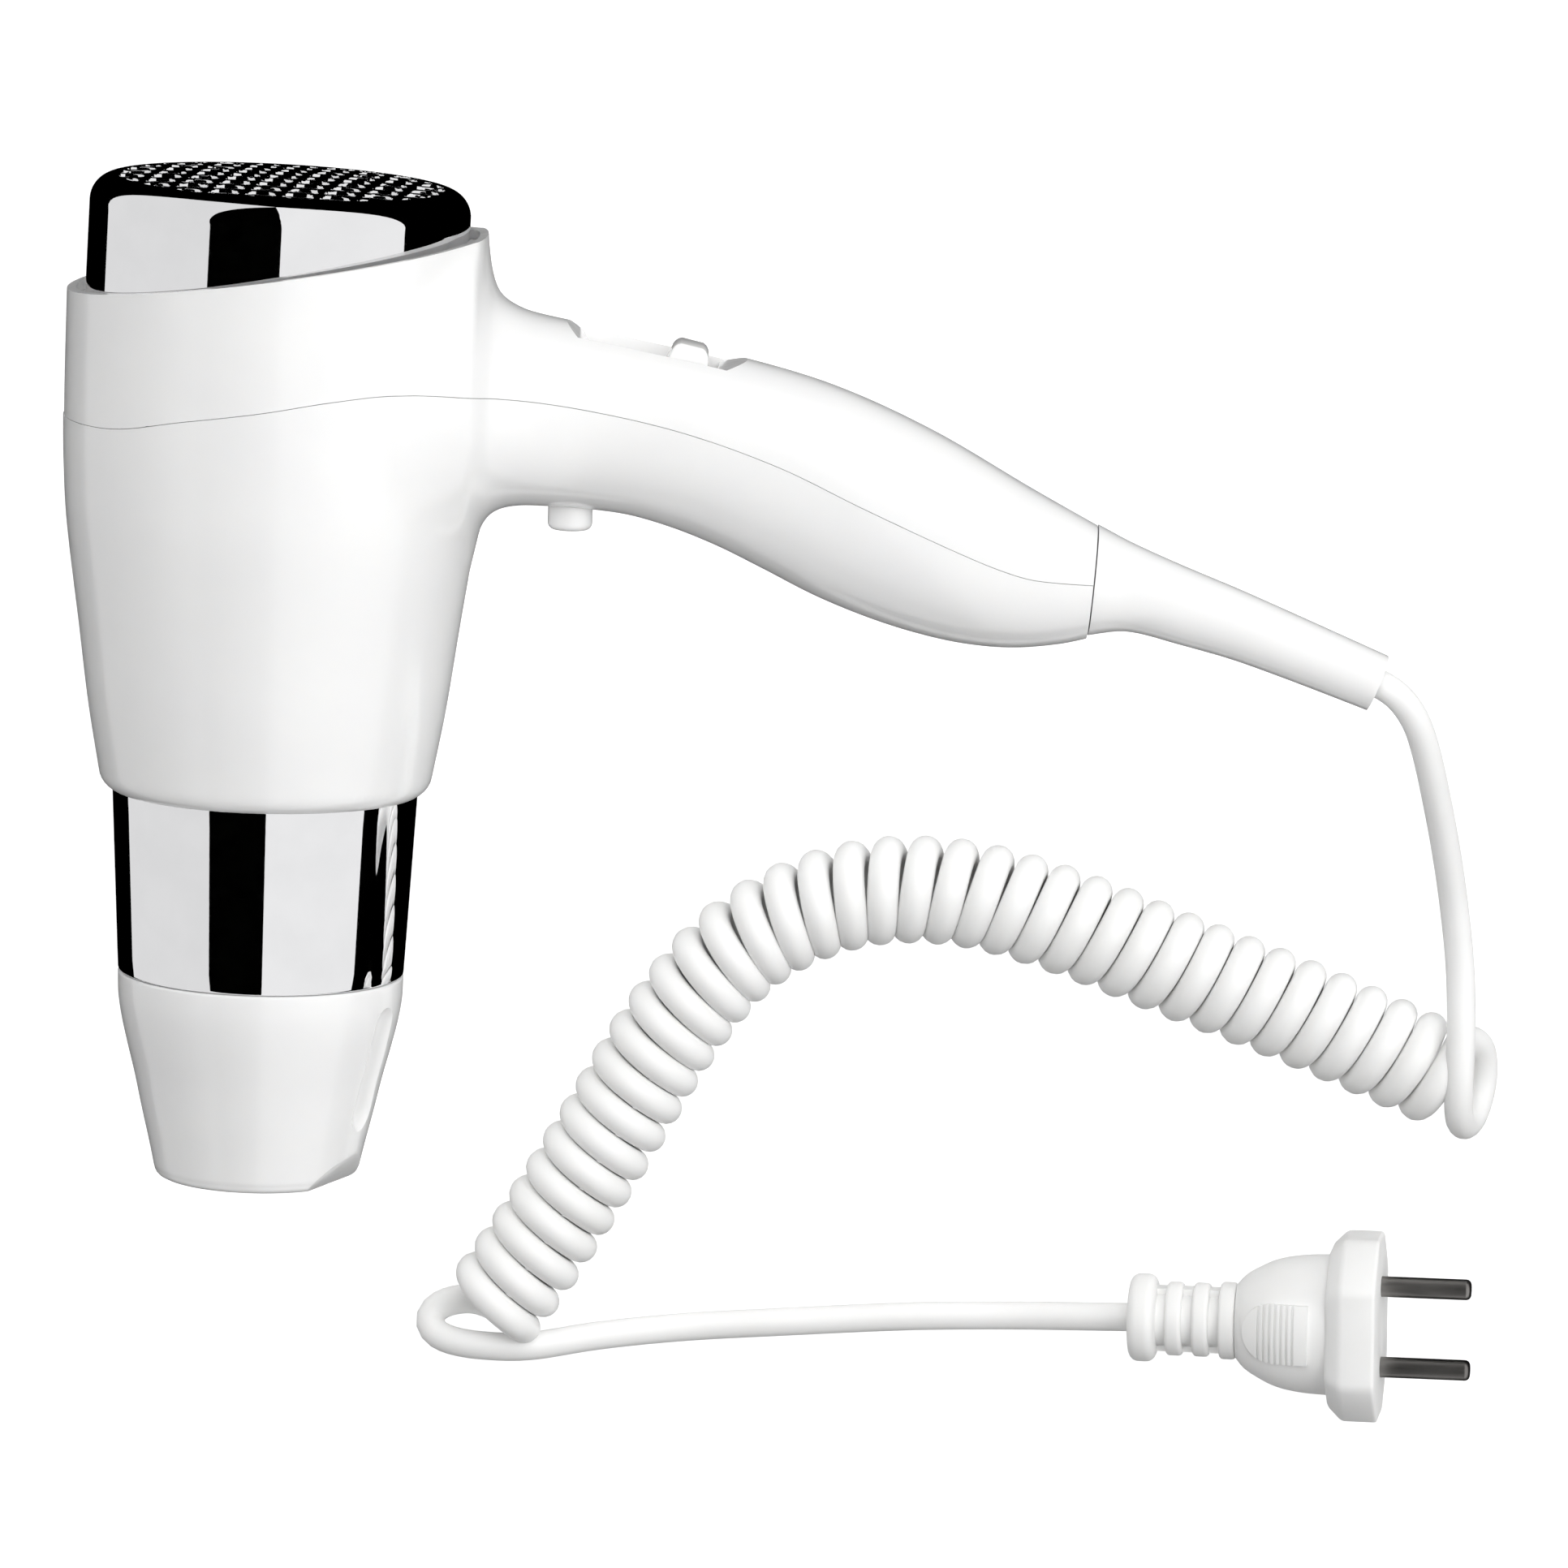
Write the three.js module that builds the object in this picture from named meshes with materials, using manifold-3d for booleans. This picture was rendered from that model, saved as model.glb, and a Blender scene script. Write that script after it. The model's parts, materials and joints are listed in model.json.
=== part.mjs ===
// A hand-held hair dryer lying on its side, with a curly mains lead and a two-pin plug.
// Millimetres, +Z up. Inside the assembly the barrel's axis runs along +Y, from the nozzle to the
// intake, y = 0 is the lower end of the white housing, and the handle reaches out along +X.
import * as THREE from "three";
import { mergeVertices } from "three/addons/utils/BufferGeometryUtils.js";
import Module from "manifold-3d";

const wasm = await Module();
wasm.setup();

// ---- Driving dimensions -------------------------------------------------------------------------

const GAP = 0.3; // between pieces that touch
const WALL = 2.2; // housing wall
const ROUND = 28; // sides of a barrel-sized circle
const SMALL_ROUND = 16; // sides of a small circle

const BARREL_RADIUS = 47.2; // at the seam, the widest place
const AXIS_HEIGHT = BARREL_RADIUS; // the barrel lies on its widest ring
const RIM_HEIGHT = 120.3; // of the slanted rim, on the axis
const RIM_SLOPE = THREE.MathUtils.degToRad(8.9); // the rim is higher on the handle's side
const HOUSING_MOUTH_RADIUS = 34.9; // hole at the housing's lower end

const CAP_RADIUS = 42.6;
const CAP_TOP = 138.9; // where the cap's shoulder ends
const CAP_DOME = 1; // rise of the lattice at its middle
const CAP_TILT = THREE.MathUtils.degToRad(1.5);
const CAP_SHOULDER = 4.6;
const CAP_WALL = 1.6;
const CAP_SKIRT = 103; // the skirt's lower edge, inside the housing
const LATTICE_PITCH = { x: 8.2, z: 7.8 };
const LATTICE_SLOT = { x: 6.7, z: 5.9 };
const LATTICE_STAGGER = 0.75; // between neighbouring rows
const LATTICE_RADIUS = 36.5;

const BAND_TOP_RADIUS = 34.4;
const BAND_END_RADIUS = 32.3;
const BAND_LENGTH = 41.2; // below the housing
const BAND_TUCK = 12; // inside the housing
const BAND_WALL = 1;

const NOZZLE_LENGTH = 47;
const NOZZLE_MOUTH_RADIUS = 22.6;
const NOZZLE_BORE = 17.5;
const FACET_AZIMUTH = THREE.MathUtils.degToRad(66); // from straight up, towards the handle
const FACET_LEAN = 0.66; // radians between a facet and the barrel's axis
const FACET = { radius: 21.2, height: 3.2 }; // a point of the facet: from the axis, above the mouth
const GRILLE = { low: -31.5, high: -29.5 };

const PARTING_GAP = 0.3; // between the two shells
const SLEEVE_START = 185.5;
const SLEEVE_END = 249.7; // where the sleeve's axis leaves it
const SLEEVE_SLOPE = THREE.MathUtils.degToRad(-20.5);

const SLOT_SLOPE = THREE.MathUtils.degToRad(-12.6);
const SLOT_CENTRE = { x: 86, y: 99.2 }; // on the slot's floor
const SLOT_WIDTH = 20;
const SLOT_HALF_LENGTH = 16.4;
const KNOB_REST = 6.4; // along the floor from the slot's centre: full speed
const KNOB_TRAVEL = 17.4; // two steps back to off
const KNOB = { length: 9.4, width: 12, height: 7 };

const BUTTON = { x: 67, y: 66.9, radius: 5, proud: 5.2, travel: 2.2 };

const CORD_RADIUS = 3.3;
const CURL_RADIUS = 12.8; // outside of the curly lead
const PLUG_LENGTH = 60.2; // without the pins
const PLUG_PITCH = THREE.MathUtils.degToRad(8.5); // it rests on its flange and its rear disc
const PLUG_TURN = THREE.MathUtils.degToRad(1.5);
const PLUG_REAR = [201.3, -123.2, 10.4];
const PIN = { radius: 2.4, length: 19, spacing: 19 };

// Radius of the barrel's outside at points along its axis.
const BARREL_OUTLINE = [
  [0, 35.4], [1.4, 36.6], [3.6, 37.4], [19, 40.2], [37, 42.7], [61, 46.0], [74, 46.9],
  [85, BARREL_RADIUS], [104, BARREL_RADIUS], [132, 46.9],
];
// Outlines of the handle in its middle plane, and its half width, along X.
const HANDLE_TOP = [
  [30, 131], [44.5, 129], [46.8, 121], [49.5, 115.2], [53.5, 112], [59, 110.2], [80, 106.6],
  [105, 101.8], [130, 94.2], [155, 83.2], [SLEEVE_START, 66.7],
];
const HANDLE_BOTTOM = [
  [30, 52], [44, 58.5], [47, 63.1], [51, 66], [60, 67.2], [80, 65.4], [105, 57.4], [125, 47.5],
  [145, 41.3], [165, 38.3], [SLEEVE_START, 42],
];
const HANDLE_HALF_WIDTH = [
  [30, 38], [44, 31], [50, 25.5], [60, 21], [75, 19.2], [105, 19], [135, 19.5], [160, 17.5],
  [SLEEVE_START, 12.2],
];
const SLEEVE_TOP = [[SLEEVE_START, 66.7], [193, 63], [204, 58.4], [220, 52.2], [258, 36.5]];
const SLEEVE_BOTTOM = [[SLEEVE_START, 42], [193, 42.8], [204, 40.4], [220, 36.2], [258, 23]];
const SLEEVE_HALF_WIDTH = [[SLEEVE_START, 12.2], [193, 9.6], [204, 8.4], [220, 7.8], [258, 6.6]];
// The seam between the two shells, seen along Z.
const PARTING = [
  [-70, 85], [-36, 85], [-18, 88.6], [0, 91.6], [15, 94.2], [30, 95.4], [48, 94], [72, 90.8],
  [93, 86.4], [114, 79.5], [132, 71.4], [153, 62.2], [164, 57.8], [172, 55.6], [190, 54.2],
];

// The lead's route, chosen by hand: centre line from the sleeve, over and round the curl's end.
const LEAD_ROUTE = [
  [249.7, 32.9, 47.2], [254.4, 30.2, 46.9], [259.2, 24.4, 45.2], [262.8, 16.6, 41.6], [266.4, 5.4, 36],
  [269.6, -7.6, 29], [272.6, -22.4, 22.4], [275, -37.6, 18.6], [276, -52.4, 20], [276.4, -64.6, 22.2],
  [277, -72.6, 19],
  [279.6, -75.4, 11.6], [282, -71, 5], [282.2, -61, 3.6], [279, -53.2, 8.2], [273.6, -54.4, 13],
];
// Centre line of the curly stretch, from the lead to the tail.
const CURL_ROUTE = [
  [266, -61], [238, -50], [210, -40], [182, -30], [160, -24.6], [140, -24.6], [122, -30],
  [107, -40], [93, -58], [78, -85], [64, -109.4], [56.8, -121.5],
];
const TAIL_ROUTE = [
  [51.6, -125.6, 5], [45, -122.6, 3.6], [39.2, -127.4, 4.6], [41, -134.8, 8], [50, -138, 11.8],
  [62, -136.6, 12.4], [78, -134, 8.6], [98, -131.6, 4], [122, -129, 3.5], [150, -126.6, 3.5],
  [174, -125.2, 4.8], [190, -124, 8.2],
];

// ---- Finishes -----------------------------------------------------------------------------------

const finish = (color, roughness, metalness) =>
  new THREE.MeshStandardMaterial({ color, roughness, metalness });
const GLOSS_WHITE = finish(0xf2f2f0, 0.22, 0);
const SOFT_WHITE = finish(0xebebe8, 0.5, 0);
const CHROME = finish(0xe0e0e2, 0.05, 1);
const STEEL = finish(0x8d8f92, 0.3, 1);
const PIN_METAL = finish(0x55575a, 0.35, 1);
const BLACK_PLASTIC = finish(0x1c1c1e, 0.5, 0);
const MICA = finish(0xb9b09a, 0.55, 0);
const HEATER_WIRE = finish(0x7c7468, 0.45, 1);
const BOARD_GREEN = finish(0x2c5a3a, 0.5, 0);
const GAUZE = finish(0x6d6f72, 0.5, 1);

// ---- Solids -------------------------------------------------------------------------------------

const assembly = new THREE.Group();

// The closed manifold-3d solid of a geometry.
function solidOf(geometry) {
  const bare = geometry.clone();
  const extras = Object.keys(bare.attributes).filter((name) => name !== "position");
  extras.forEach((name) => bare.deleteAttribute(name));
  const merged = mergeVertices(bare, 1e-4);
  return new wasm.Manifold(
    new wasm.Mesh({
      numProp: 3,
      vertProperties: merged.attributes.position.array,
      triVerts: new Uint32Array(merged.index.array),
    }),
  );
}

function geometryOf(manifold) {
  const { vertProperties, triVerts } = manifold.getMesh();
  return new THREE.BufferGeometry()
    .setAttribute("position", new THREE.BufferAttribute(vertProperties, 3))
    .setIndex(new THREE.BufferAttribute(triVerts, 1));
}

const cut = (base, ...tools) =>
  geometryOf(tools.reduce((left, tool) => left.subtract(solidOf(tool)), solidOf(base)));
const join = (base, ...others) =>
  geometryOf(others.reduce((left, other) => left.add(solidOf(other)), solidOf(base)));
const common = (base, ...others) =>
  geometryOf(others.reduce((left, other) => left.intersect(solidOf(other)), solidOf(base)));

// Adds one named mesh to the assembly, or to a group inside it.
function piece(name, geometry, material, parent = assembly) {
  const shape = geometry.clone();
  shape.computeVertexNormals();
  const mesh = new THREE.Mesh(shape, material.clone());
  mesh.name = name;
  parent.add(mesh);
  return mesh;
}

// Height of a smooth curve through [x, height] points, at x.
function heightAt(points, x) {
  const last = points.length - 2;
  const passed = points.filter(([px]) => px <= x).length;
  const i = Math.min(last, Math.max(0, passed - 1));
  const [x0, y0] = points[i];
  const [x1, y1] = points[i + 1];
  const span = x1 - x0;
  const slope = (a, b) => (b[1] - a[1]) / (b[0] - a[0]);
  const before = i > 0 ? slope(points[i - 1], points[i + 1]) : slope(points[i], points[i + 1]);
  const after = i < last ? slope(points[i], points[i + 2]) : slope(points[i], points[i + 1]);
  const t = (x - x0) / span;
  const rise = t * t * (3 - 2 * t);
  return (
    y0 + (y1 - y0) * rise + span * (before * t * (1 - t) ** 2 - after * t * t * (1 - t))
  );
}

// A solid of revolution about the barrel's axis. The profile is a closed ring of [radius, y].
function turned(profile, sides = ROUND) {
  const points = profile.map(([radius, y]) => new THREE.Vector2(radius, y));
  const area = points.reduce((sum, p, i) => {
    const next = points[(i + 1) % points.length];
    return sum + p.x * next.y - next.x * p.y;
  }, 0);
  if (area < 0) points.reverse(); // anticlockwise, so that the faces point outwards
  points.push(points[0].clone());
  return new THREE.LatheGeometry(points, sides).translate(0, 0, AXIS_HEIGHT);
}

const disc = (radius, low, high, sides = ROUND) =>
  turned([[0, low], [radius, low], [radius, high], [0, high]], sides);
const ring = (inner, outer, low, high, sides = ROUND) =>
  turned([[inner, low], [outer, low], [outer, high], [inner, high]], sides);

// A box given by its lowest and highest corners.
function block([x0, y0, z0], [x1, y1, z1]) {
  return new THREE.BoxGeometry(x1 - x0, y1 - y0, z1 - z0).translate(
    (x0 + x1) / 2, (y0 + y1) / 2, (z0 + z1) / 2);
}

// A flat outline in X and Y, made thick along Z about the middle plane.
function plate(outline, thickness, middle = AXIS_HEIGHT) {
  const shape = new THREE.Shape(outline.map(([x, y]) => new THREE.Vector2(x, y)));
  return new THREE.ExtrudeGeometry(shape, { depth: thickness, bevelEnabled: false }).translate(
    0, 0, middle - thickness / 2);
}

// An oval tube along X whose top, bottom and half width are curves, pulled in by a wall.
function oval(stations, top, bottom, halfWidth, wall = 0, sides = 20) {
  const tube = new THREE.CylinderGeometry(1, 1, 1, sides, stations.length - 1);
  tube.rotateZ(Math.PI / 2);
  const at = tube.attributes.position;
  for (let i = 0; i < at.count; i++) {
    const step = Math.round((at.getX(i) + 0.5) * (stations.length - 1));
    const x = stations[step];
    const high = heightAt(top, x) - wall;
    const low = heightAt(bottom, x) + wall;
    at.setXYZ(i, x, (high + low) / 2 + (at.getY(i) * (high - low)) / 2,
      AXIS_HEIGHT + at.getZ(i) * (heightAt(halfWidth, x) - wall));
  }
  return tube;
}

// A round bar along a path of points.
function bar(points, radius, steps, sides = 10) {
  const section = new THREE.Shape(
    Array.from({ length: sides }, (_, i) => {
      const turn = (2 * Math.PI * (i + 0.5)) / sides;
      return new THREE.Vector2(radius * Math.cos(turn), radius * Math.sin(turn));
    }),
  );
  const path = new THREE.CatmullRomCurve3(points.map((p) => new THREE.Vector3(...p)), false, "centripetal");
  return new THREE.ExtrudeGeometry(section, { steps, bevelEnabled: false, extrudePath: path });
}

// A round bar between two heights of y, at a place across the barrel.
const post = (x, z, radius, low, high, sides = SMALL_ROUND) =>
  new THREE.CylinderGeometry(radius, radius, high - low, sides).translate(x, (low + high) / 2, z);

const barrelRadius = (y) => heightAt(BARREL_OUTLINE, y);

// Everything above the plane of the rim, moved along Y.
function aboveRim(shift = 0) {
  const size = 200;
  return new THREE.BoxGeometry(2 * size, size, 2 * size)
    .translate(0, size / 2, 0)
    .rotateZ(RIM_SLOPE)
    .translate(0, RIM_HEIGHT + shift, AXIS_HEIGHT);
}

// Everything on one side of the seam between the shells: side 1 is the intake's side.
function seamSide(side) {
  const far = 260;
  const low = PARTING[0][0];
  const high = PARTING.at(-1)[0] + 10;
  const steps = 26;
  const edge = Array.from({ length: steps + 1 }, (_, i) => {
    const x = low + ((high - low) * i) / steps;
    return [x, heightAt(PARTING, Math.min(x, PARTING.at(-1)[0])) + (side * PARTING_GAP) / 2];
  });
  const outline = [...edge, [high, side * far], [low, side * far]];
  return plate(side > 0 ? outline : outline.reverse(), 4 * BARREL_RADIUS);
}

// ---- Housing: two shells ------------------------------------------------------------------------

function barrelShape(wall) {
  const stations = wall > 0 ? [4, 37, 74, 132] : BARREL_OUTLINE.map(([y]) => y);
  const outline = stations.map((y) => [Math.max(barrelRadius(y) - wall, HOUSING_MOUTH_RADIUS), y]);
  if (wall > 0) outline.unshift([HOUSING_MOUTH_RADIUS, -1]);
  return turned([[0, outline[0][1]], ...outline, [0, outline.at(-1)[1]]]);
}

const HANDLE_STATIONS = [
  34, 44.6, 46.4, 48.6, 51.5, 56, 64, 78, 94, 110, 126, 142, 158, 172, SLEEVE_START,
];

function handleShape(wall) {
  const inner = [34, 47, 56, 78, 110, 142, 164, SLEEVE_START + 2];
  return oval(wall > 0 ? inner : HANDLE_STATIONS, HANDLE_TOP, HANDLE_BOTTOM, HANDLE_HALF_WIDTH, wall,
    wall > 0 ? 12 : 18);
}

// Turns a shape drawn about the slot's floor (x along it, y out of it) into place.
const inSlot = (geometry, along = 0) =>
  geometry.translate(along, 0, 0).rotateZ(SLOT_SLOPE).translate(SLOT_CENTRE.x, SLOT_CENTRE.y, 0);

const PLATE_THICKNESS = 1;
const slotFloor = -PLATE_THICKNESS - GAP;

// The pocket that the knob slides in, and the block of plastic round it.
function pocket(grow) {
  const half = SLOT_HALF_LENGTH + grow;
  const low = slotFloor - grow;
  return inSlot(plate([[-half, low], [half, low], [half, 2.2], [half + 5, 7.4], [half + 5, 14],
    [-half - 6, 14], [-half - 6, 7.4], [-half, 3.2]], SLOT_WIDTH + 2 * grow));
}

const STEM = { length: 3, width: 3, endGap: 0.6, sideGap: 0.4 };
// The room that the knob's stem slides in, between two heights.
function stemRoom(low, high, middle = 0) {
  const start = KNOB_REST - KNOB_TRAVEL - STEM.length / 2 - STEM.endGap;
  const end = KNOB_REST + STEM.length / 2 + STEM.endGap;
  const side = STEM.width / 2 + STEM.sideGap;
  return block([start, low, middle - side], [end, high, middle + side]);
}
const stemSlit = inSlot(stemRoom(slotFloor - 6, 1, AXIS_HEIGHT));

const outside = join(barrelShape(0), handleShape(0));
const inside = join(barrelShape(WALL), handleShape(WALL));
const SCREWS = [[55, 0], [112, 0], [160, 0]]; // x along the handle, z from the middle plane
const screwHead = (x) => heightAt(HANDLE_BOTTOM, x) + 4;
const bosses = SCREWS.map(([x, z]) =>
  post(x, AXIS_HEIGHT + z, 4, heightAt(HANDLE_BOTTOM, x) + 1, heightAt(HANDLE_TOP, x) - 1, 12));
const screwHoles = SCREWS.flatMap(([x, z]) => [
  post(x, AXIS_HEIGHT + z, 3.2, heightAt(HANDLE_BOTTOM, x) - 8, screwHead(x), 12),
  post(x, AXIS_HEIGHT + z, 1.9, screwHead(x) - 1, heightAt(HANDLE_TOP, x) - 8, 12),
]);

const shell = cut(outside, inside, aboveRim());
const handleRoom = common(outside, block([50, 0, -10], [SLEEVE_START, 140, 110]));
const POCKET_WALL = 1.8;
const pocketWall = common(pocket(POCKET_WALL), handleRoom);

piece("rear_shell",
  cut(common(join(shell, ...bosses.map((b) => common(b, handleRoom)), pocketWall), seamSide(1)),
    pocket(0), stemSlit, ...screwHoles),
  GLOSS_WHITE);
piece("front_shell",
  cut(common(join(shell, ...bosses.map((b) => common(b, handleRoom))), seamSide(-1)),
    post(BUTTON.x, AXIS_HEIGHT, BUTTON.radius + 0.35, 50, 80), ...screwHoles),
  GLOSS_WHITE);

SCREWS.forEach(([x, z], i) => {
  const head = screwHead(x);
  piece("housing_screw_" + (i + 1),
    join(post(x, AXIS_HEIGHT + z, 2.8, head - 2.4, head - GAP, 12),
      post(x, AXIS_HEIGHT + z, 1.5, head - 1, head + 14, 12)),
    STEEL);
});

// ---- Intake: cap, filter, fan -------------------------------------------------------------------

// The cap's section is a skirt, a rounded shoulder and a dome whose height falls as a parabola.
function capShape() {
  const arc = (radius, centre, height) =>
    [0, 1, 2, 3].map((i) => {
      const turn = (i * Math.PI) / 6;
      return [centre + radius * Math.cos(turn), height + radius * Math.sin(turn)];
    });
  const shoulder = CAP_RADIUS - CAP_SHOULDER;
  const dome = (top) =>
    [0.66, 0.33, 0].map((share) => [share * shoulder, top + CAP_DOME * (1 - share ** 2)]);
  const outer = [...arc(CAP_SHOULDER, shoulder, CAP_TOP - CAP_SHOULDER), ...dome(CAP_TOP)];
  const inner = [
    ...arc(CAP_SHOULDER - CAP_WALL, shoulder, CAP_TOP - CAP_SHOULDER),
    ...dome(CAP_TOP - CAP_WALL),
  ];
  const skirt = [[CAP_RADIUS - CAP_WALL, CAP_SKIRT], [CAP_RADIUS, CAP_SKIRT]];
  return turned([...skirt, ...outer, ...inner.reverse()]);
}

// Staggered rectangular holes through the cap's top, as one solid that cuts them all.
function latticeHoles() {
  const holes = [];
  const rows = Math.ceil(LATTICE_RADIUS / LATTICE_PITCH.z);
  for (let row = -rows; row <= rows; row++)
    for (let column = -rows; column <= rows; column++) {
      const x = column * LATTICE_PITCH.x - row * LATTICE_STAGGER;
      const z = row * LATTICE_PITCH.z;
      const reach = Math.hypot(Math.abs(x) + LATTICE_SLOT.x / 2, Math.abs(z) + LATTICE_SLOT.z / 2);
      if (reach > LATTICE_RADIUS) continue;
      const hole = new THREE.BoxGeometry(LATTICE_SLOT.x, 20, LATTICE_SLOT.z);
      holes.push(hole.translate(x, CAP_TOP, AXIS_HEIGHT + z));
    }
  return join(...holes);
}

const tilt = (geometry) =>
  geometry.translate(0, -RIM_HEIGHT, 0).rotateZ(-CAP_TILT).translate(0, RIM_HEIGHT, 0);
piece("intake_cap", tilt(cut(capShape(), latticeHoles())), CHROME);

// A ring with spokes and a hub, all joined.
function wheel({ inner, outer, low, high, hub, spokes, thickness }) {
  const bars = Array.from({ length: spokes }, (_, i) =>
    new THREE.BoxGeometry(outer - 1 - hub / 2, high - low, thickness)
      .translate((outer - 1 + hub / 2) / 2, (low + high) / 2, 0)
      .rotateY((2 * Math.PI * i) / spokes)
      .translate(0, 0, AXIS_HEIGHT));
  return join(ring(inner, outer, low, high), disc(hub, low, high, SMALL_ROUND), ...bars);
}

piece("dust_filter_frame",
  wheel({ inner: 37.4, outer: 40.2, low: 122.6, high: 125, hub: 5, spokes: 6, thickness: 1.8 }),
  BLACK_PLASTIC);
piece("dust_filter_gauze", disc(39.8, 125 + GAP, 126, 32), GAUZE);

const FAN = { hub: 15, tip: 38.6, low: 99, high: 111, blades: 7 };
// A blade is a twisted plate from the hub to the tip.
function blade(turn) {
  const shape = new THREE.BoxGeometry(FAN.tip - FAN.hub + 1, FAN.high - FAN.low - 1, 1.2, 3, 1, 1);
  const at = shape.attributes.position;
  const rootPitch = 0.9;
  const tipPitch = 1.15;
  for (let i = 0; i < at.count; i++) {
    const along = at.getX(i) / (FAN.tip - FAN.hub + 1) + 0.5;
    const pitch = rootPitch + (tipPitch - rootPitch) * along;
    const [y, z] = [at.getY(i), at.getZ(i)];
    at.setXYZ(i, FAN.hub - 1 + along * (FAN.tip - FAN.hub + 1),
      y * Math.cos(pitch) * 1.25 - z * Math.sin(pitch), y * Math.sin(pitch) * 1.25 + z * Math.cos(pitch));
  }
  return shape.rotateY(turn).translate(0, (FAN.low + FAN.high) / 2, AXIS_HEIGHT);
}
const blades = Array.from({ length: FAN.blades }, (_, i) => blade((2 * Math.PI * i) / FAN.blades));
const SHAFT_RADIUS = 1.6;
piece("fan_impeller",
  cut(join(turned([[SHAFT_RADIUS + 1, FAN.low], [FAN.hub, FAN.low], [FAN.hub, FAN.high - 3], [12, FAN.high],
    [0, FAN.high], [0, FAN.low + 1]], 24), ...blades),
    ring(4, 13, FAN.low - 1, FAN.low + 7, 24), disc(SHAFT_RADIUS + 0.2, FAN.low - 1, FAN.high - 2, 12)),
  BLACK_PLASTIC);
piece("motor_shaft", disc(SHAFT_RADIUS, 94, FAN.high - 2.3, 12), STEEL);

const MOTOR = { radius: 13.6, low: 62, high: 90 };
piece("motor_can",
  join(disc(MOTOR.radius, MOTOR.low, MOTOR.high, 24), disc(4.4, MOTOR.low, 93.6, 12)), STEEL);
piece("motor_end_cap",
  join(disc(MOTOR.radius - 1, 57.5, MOTOR.low - GAP, 24), disc(4, 54, 58, 12)), BLACK_PLASTIC);

// Flow straightener that carries the motor: hub cup, vanes and the ring held in the housing.
function straightener() {
  const low = 60;
  const high = 88;
  const hub = ring(MOTOR.radius + GAP, MOTOR.radius + 2.2, low, high, 24);
  const rim = ring(40.6, 42.4, 66, 84);
  const vanes = Array.from({ length: 9 }, (_, i) =>
    new THREE.BoxGeometry(27, 16, 1.4)
      .rotateX(0.35)
      .translate(28.2, 75, 0)
      .rotateY((2 * Math.PI * i) / 9)
      .translate(0, 0, AXIS_HEIGHT));
  return join(hub, rim, ...vanes);
}
piece("flow_straightener", straightener(), BLACK_PLASTIC);

// ---- Heater and outlet --------------------------------------------------------------------------

piece("heater_tube", ring(29.6, 30.4, -27.5, 52), MICA);

const BOARD = { half: 23.6, low: -25, high: 50, thickness: 1 };
function heaterBoard(upright) {
  const middle = (BOARD.low + BOARD.high) / 2;
  const slit = BOARD.thickness / 2 + GAP; // the boards are slotted into each other
  const [low, high] = upright ? [BOARD.low - 1, middle + GAP / 2] : [middle - GAP / 2, BOARD.high + 1];
  const face = BOARD.thickness / 2;
  const board = block([-BOARD.half, BOARD.low, -face], [BOARD.half, BOARD.high, face]);
  const lap = block([-slit, low, -5], [slit, high, 5]);
  return cut(board, lap).rotateY(upright ? Math.PI / 2 : 0).translate(0, 0, AXIS_HEIGHT);
}
piece("heater_board_flat", heaterBoard(false), MICA);
piece("heater_board_upright", heaterBoard(true), MICA);

// The heating wire winds round both boards in one spiral.
function heatingWire() {
  const turns = 6;
  const perTurn = 14;
  const points = Array.from({ length: turns * perTurn + 1 }, (_, i) => {
    const turn = (2 * Math.PI * i) / perTurn;
    return [25.8 * Math.sin(turn), -19 + (58 * i) / (turns * perTurn), AXIS_HEIGHT + 25.8 * Math.cos(turn)];
  });
  return bar(points, 1.2, turns * perTurn, 6);
}
piece("heating_wire", heatingWire(), HEATER_WIRE);
piece("thermostat", block([6, 26, AXIS_HEIGHT + 0.9], [19, 36, AXIS_HEIGHT + 5.4]), STEEL);
piece("thermal_fuse",
  new THREE.CylinderGeometry(1.9, 1.9, 13, 12).translate(-13, 30, AXIS_HEIGHT + 2.9), STEEL);

function band() {
  const inner = (radius) => radius - BAND_WALL;
  return turned([
    [inner(BAND_TOP_RADIUS), BAND_TUCK], [BAND_TOP_RADIUS, BAND_TUCK], [BAND_TOP_RADIUS, 0],
    [BAND_END_RADIUS, -BAND_LENGTH], [inner(BAND_END_RADIUS), -BAND_LENGTH], [inner(BAND_TOP_RADIUS), 0],
  ], 48);
}
piece("chrome_band", band(), CHROME);

function outletGrille() {
  const { low, high } = GRILLE;
  const frame = wheel({ inner: 28.8, outer: 30.6, low, high, hub: 4, spokes: 6, thickness: 1.4 });
  return join(frame, ring(11, 12.4, low, high, 24), ring(19.8, 21.2, low, high, 24));
}
piece("outlet_grille", outletGrille(), BLACK_PLASTIC);

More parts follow.
